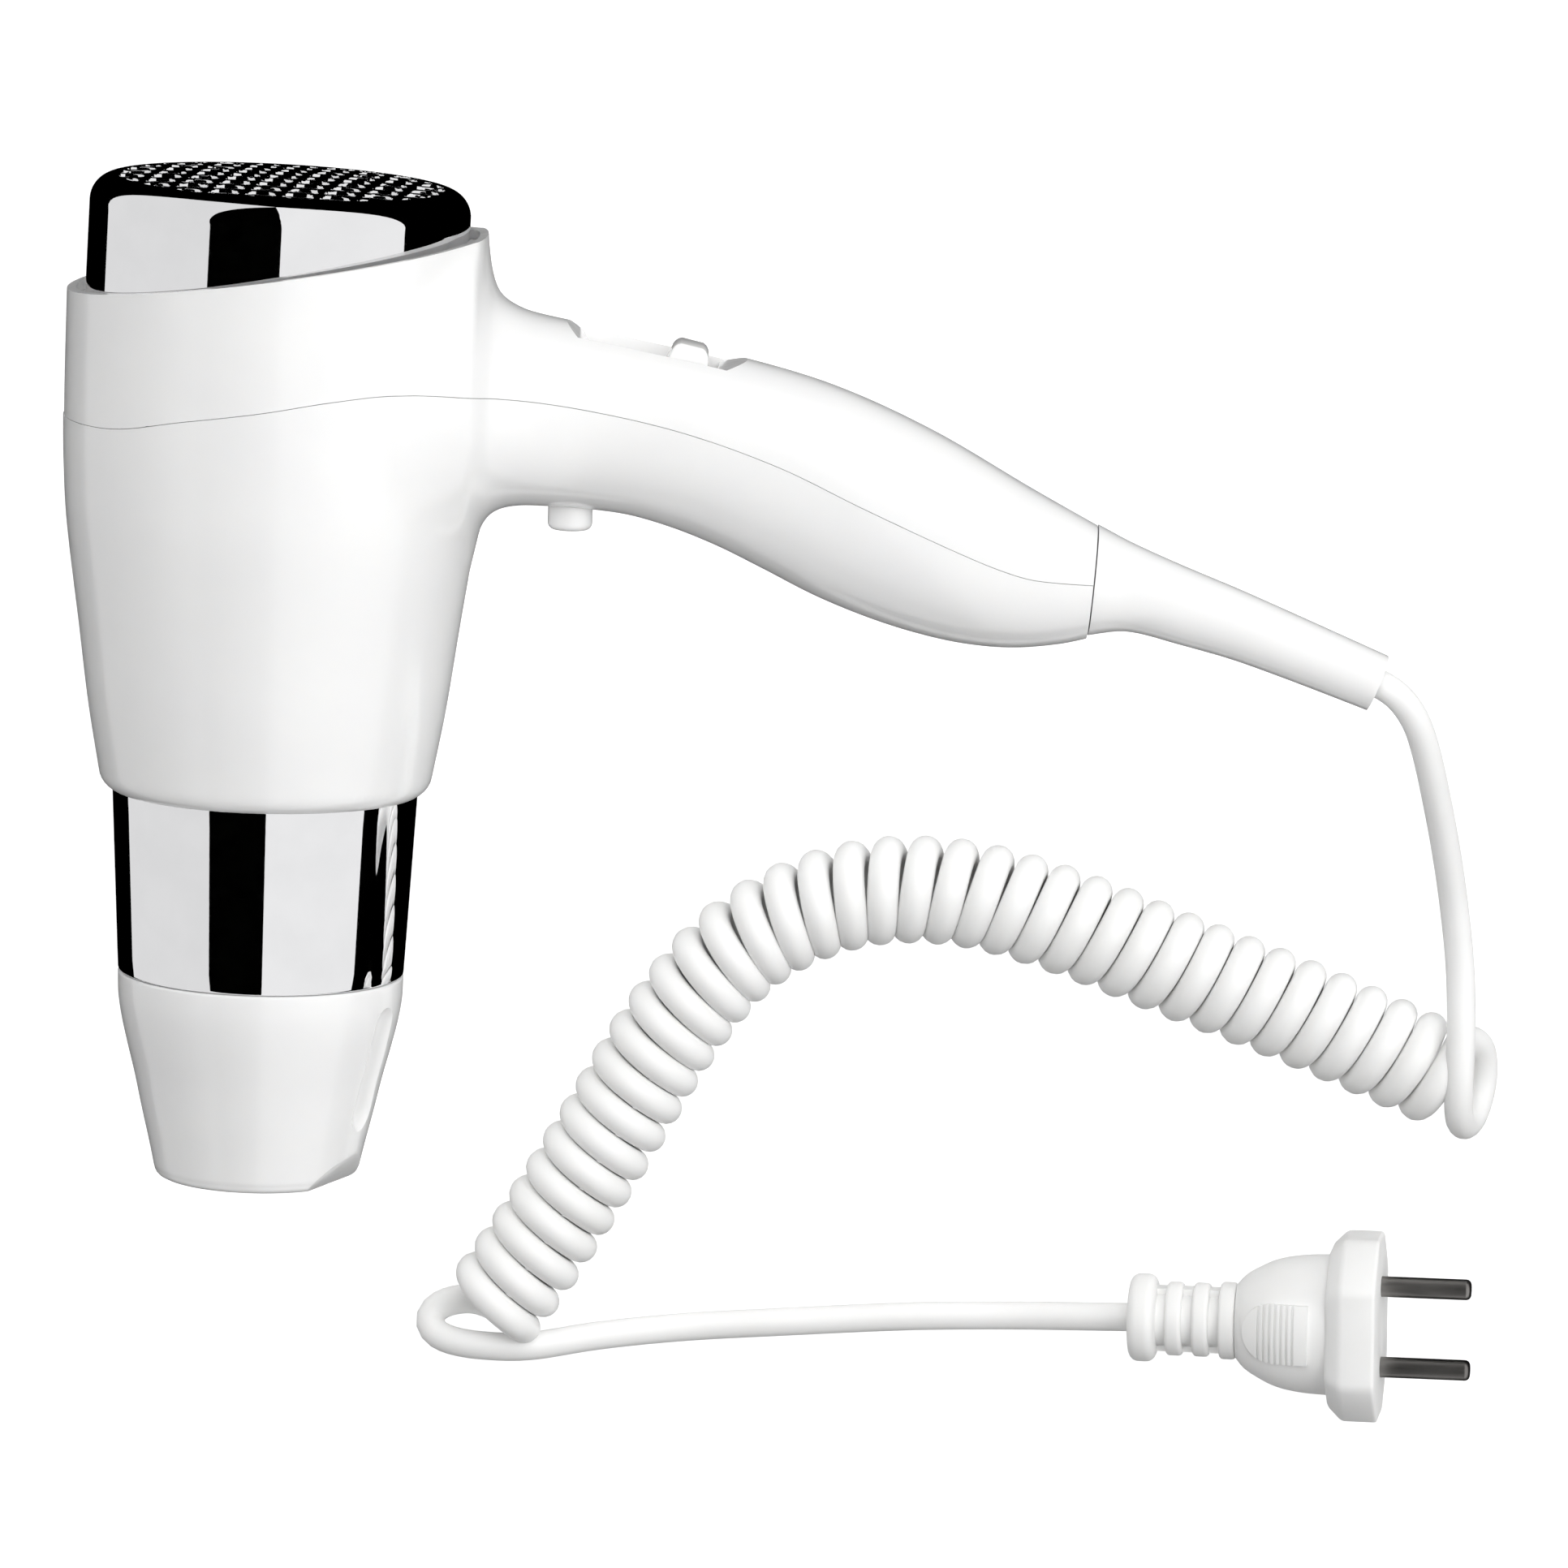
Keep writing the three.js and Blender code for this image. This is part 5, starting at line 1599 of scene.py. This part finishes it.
@dataclass
class Plug:
    """The flat two-pin plug on the cord's end, drawn along its own +X."""

    bench: Bench
    rear: Point = (201.3, -123.2, 10.4)
    lean: float = 8.5
    turn: float = 1.5
    face: float = 58.2
    tip: float = 78.9
    spacing: float = 19.0
    made: list[bpy.types.Object] = field(default_factory=list)

    def matrix(self) -> Matrix:
        """Turns a shape drawn along +X from the plug's rear into place."""
        lean, turn = math.radians(-self.lean), math.radians(self.turn)
        return Matrix.Translation(self.rear) @ Euler((0, lean, turn), "XYZ").to_matrix().to_4x4()

    def turned(self, profile: Sequence[Pair], sides: int = 64, flat: float = 1.0) -> Shape:
        """A ring of (radius, x) pairs turned about the plug's own axis, squeezed in height by flat."""
        upright = Matrix.Rotation(math.radians(-90), 4, "Z") @ Matrix.Translation((0, 0, -AXIS))
        return lathe(profile, sides).turned(Matrix.Diagonal((1, 1, flat, 1)) @ upright)

    def add(self, piece: bpy.types.Object, slot: Slot, replaces: Sequence[str] = ()) -> None:
        """Hands a piece over and keeps it with the cord's pieces."""
        self.made.append(self.bench.hand_over(piece, Body.HANDSET, slot, replaces))

    def relief(self) -> None:
        """Makes the strain relief: a rounded disc, a core, side bars and three collars."""
        disc = arc((8.0, 2.2), 2.2, -90, 0, 6) + arc((8.0, 4.0), 2.2, 0, 90, 6)
        shape = self.turned([(0.0, 0.0), *disc, (6.4, 6.4), (6.2, 25), (0.0, 25)], 80)
        for start, radius in ((8.6, 8.6), (14.8, 8.6), (21.0, 9.0)):
            low = arc((radius - 0.9, start + 0.9), 0.9, -90, 0, 4)
            high = arc((radius - 0.9, start + 2.9), 0.9, 0, 90, 4)
            shape = shape.with_shape(self.turned([(4.0, start), *low, *high, (4.0, start + 3.8)], 80, 0.92))
        for side in (-1, 1):
            low, high = sorted((side * 4.4, side * 7.4))
            shape = shape.with_shape(block((5.6, low, -2.2), (22, high, 2.2)))
        piece = make_object("relief_skin", shape.turned(self.matrix()), self.bench.place)
        smooth(piece, 35)
        self.add(piece, Slot.SATIN_WHITE, ("plug_strain_relief",))

    def body(self) -> None:
        """Makes the bell, the faceted flange and the ribbed grip pads on both sides."""
        outline = Outline(((24.9, 8.8), (26.5, 10.7), (29, 12.4), (34, 14.8), (40, 16.0), (47, 16.4)))
        side = [(float(outline.at(x)), float(x)) for x in np.linspace(24.9, 48, 26)]
        bell = self.turned([(0.0, 24.9), (8.2, 24.9), *side, (0.0, 48)], 96, PLUG_FLATNESS)
        piece = make_object("plug_skin", bell.turned(self.matrix()), self.bench.place)
        quarter = [(21.5, 5.6), (20.6, 7.6), (15.8, 12.8), (12.6, 16.2), (10.8, 17.2)]
        half = quarter + [(-y, z) for y, z in reversed(quarter)]
        ring = half + [(-y, -z) for y, z in half]
        rings = [
            np.array([(x, y * grow, z * grow) for y, z in ring])
            for x, grow in ((46.4, 0.84), (50, 1), (self.face, 1))
        ]
        flange = make_object("flange", skin(rings).turned(self.matrix()), self.bench.place)
        soften(flange, 0.9, 3, 20)
        combine(piece, flange, Cut.JOIN)
        for raised, grooved in ((1.1, True), (0.35, False)):
            combine(piece, self.pad(outline, raised, grooved), Cut.JOIN)
        smooth(piece, 32)
        self.add(piece, Slot.SATIN_WHITE, ("plug_body",))

    def pad(self, bell: Outline, raised: float, grooved: bool) -> bpy.types.Object:
        """The grip pad: a part of the bell's surface moved outwards, round at its rear end.

        Args:
            bell: the bell's outline.
            raised: how far it stands out.
            grooved: cuts the grooves between the ribs.

        Returns:
            The pad as a closed solid.
        """
        place, rear, front, half = self.bench.place, 34.0, 42.4, 7.0
        side = [(float(bell.at(x)) + raised, float(x)) for x in np.linspace(26, 43, 18)]
        pad = self.turned([(6.0, 26), *side, (6.0, 43)], 96, PLUG_FLATNESS).turned(self.matrix())
        made = make_object("grip_pad", pad, place)
        outline = [(front, -half), (front, half), *arc((rear, 0), half, 90, 270, 17)]
        column = prism(outline, -24, 24).turned(self.matrix())
        self.bench.carve(made, column, Cut.KEEP_COMMON)
        if grooved:
            tree, end = row_tree()
            slab = make_object("slab", block((0, -9, -24), (0.6, 9, 24)), Place(np.zeros(3)))
            steel = self.bench.finishes.made[Slot.STEEL]
            slabs = tree.grow("slabs", end, steel, Piece=slab, Count=7, Step=(1.35 * MM, 0, 0))
            discard(slab)
            slabs.data.transform(Matrix.Translation((30.6 * MM, 0, 0)))
            slabs.data.transform(Matrix.Translation(Vector(place.shift) * MM) @ self.scaled())
            slabs.data.materials.clear()
            combine(made, slabs, Cut.SUBTRACT)
        return made

    def scaled(self) -> Matrix:
        """The plug's matrix for points in metres."""
        matrix = self.matrix()
        matrix.translation *= MM
        return matrix

    def pins(self) -> None:
        """Makes the two round pins with their rounded tips."""
        start, radius = self.face, 2.4
        for number, side in enumerate((-1, 1), 1):
            tip = arc((radius - 1.2, self.tip - 1.2), 1.2, 0, 90, 7)
            shape = self.turned([(0.0, start - 3), (radius, start - 3), *tip, (0.0, self.tip)], 40)
            shape = shape.turned(Matrix.Translation((0, side * self.spacing / 2, 0)))
            piece = make_object(f"pin_skin_{number}", shape.turned(self.matrix()), self.bench.place)
            smooth(piece, 50)
            self.add(piece, Slot.PIN_METAL, (f"plug_pin_{number}",))

    def build(self) -> None:
        """Makes every piece of the plug."""
        self.relief()
        self.body()
        self.pins()


# ---- The hidden and half-hidden parts that keep their CAD shape -----------------------------------


@dataclass
class Inside:
    """The parts inside the housing whose CAD shape is right and only take a finish."""

    bench: Bench
    slots: dict[Slot, tuple[str, ...]] = field(
        default_factory=lambda: {
            Slot.STEEL: ("motor_can", "motor_shaft", "thermostat", "thermal_fuse"),
            Slot.BLACK_PLASTIC: (
                "motor_end_cap", "flow_straightener", "micro_switch", "slide_switch_body", "capacitor",
                "diode_pair", "dust_filter_frame",
            ),
            Slot.MICA: ("heater_tube", "heater_board_flat", "heater_board_upright"),
            Slot.SATIN_WHITE: ("cord_clamp",),
            Slot.CIRCUIT_BOARD: ("circuit_board",),
        }
    )

    def build(self) -> None:
        """Dresses each part."""
        for slot, names in self.slots.items():
            for name in names:
                node = self.bench.frame["nodes"][name]
                self.bench.finishes.dress(node, slot)
                LOG.info("%s: CAD shape, %s", name, slot.value)


def main() -> None:
    """Builds every sub-assembly around the frame."""
    logging.basicConfig(level=logging.INFO, format="%(message)s")
    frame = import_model()
    bench = Bench(frame, Place.from_band(), Finishes())
    Studio(bench).build()
    plug = Plug(bench)
    plug.build()
    CurlyLead(bench).build(tuple(plug.matrix() @ Vector((4, 0, 0))), plug.made)
    Housing(bench).build()
    IntakeCap(bench).build()
    ChromeBand(bench).build()
    Nozzle(bench).build()
    AirPath(bench).build()
    Controls(bench).build()
    CordSleeve(bench).build()
    Inside(bench).build()


if __name__ == "__main__":
    main()
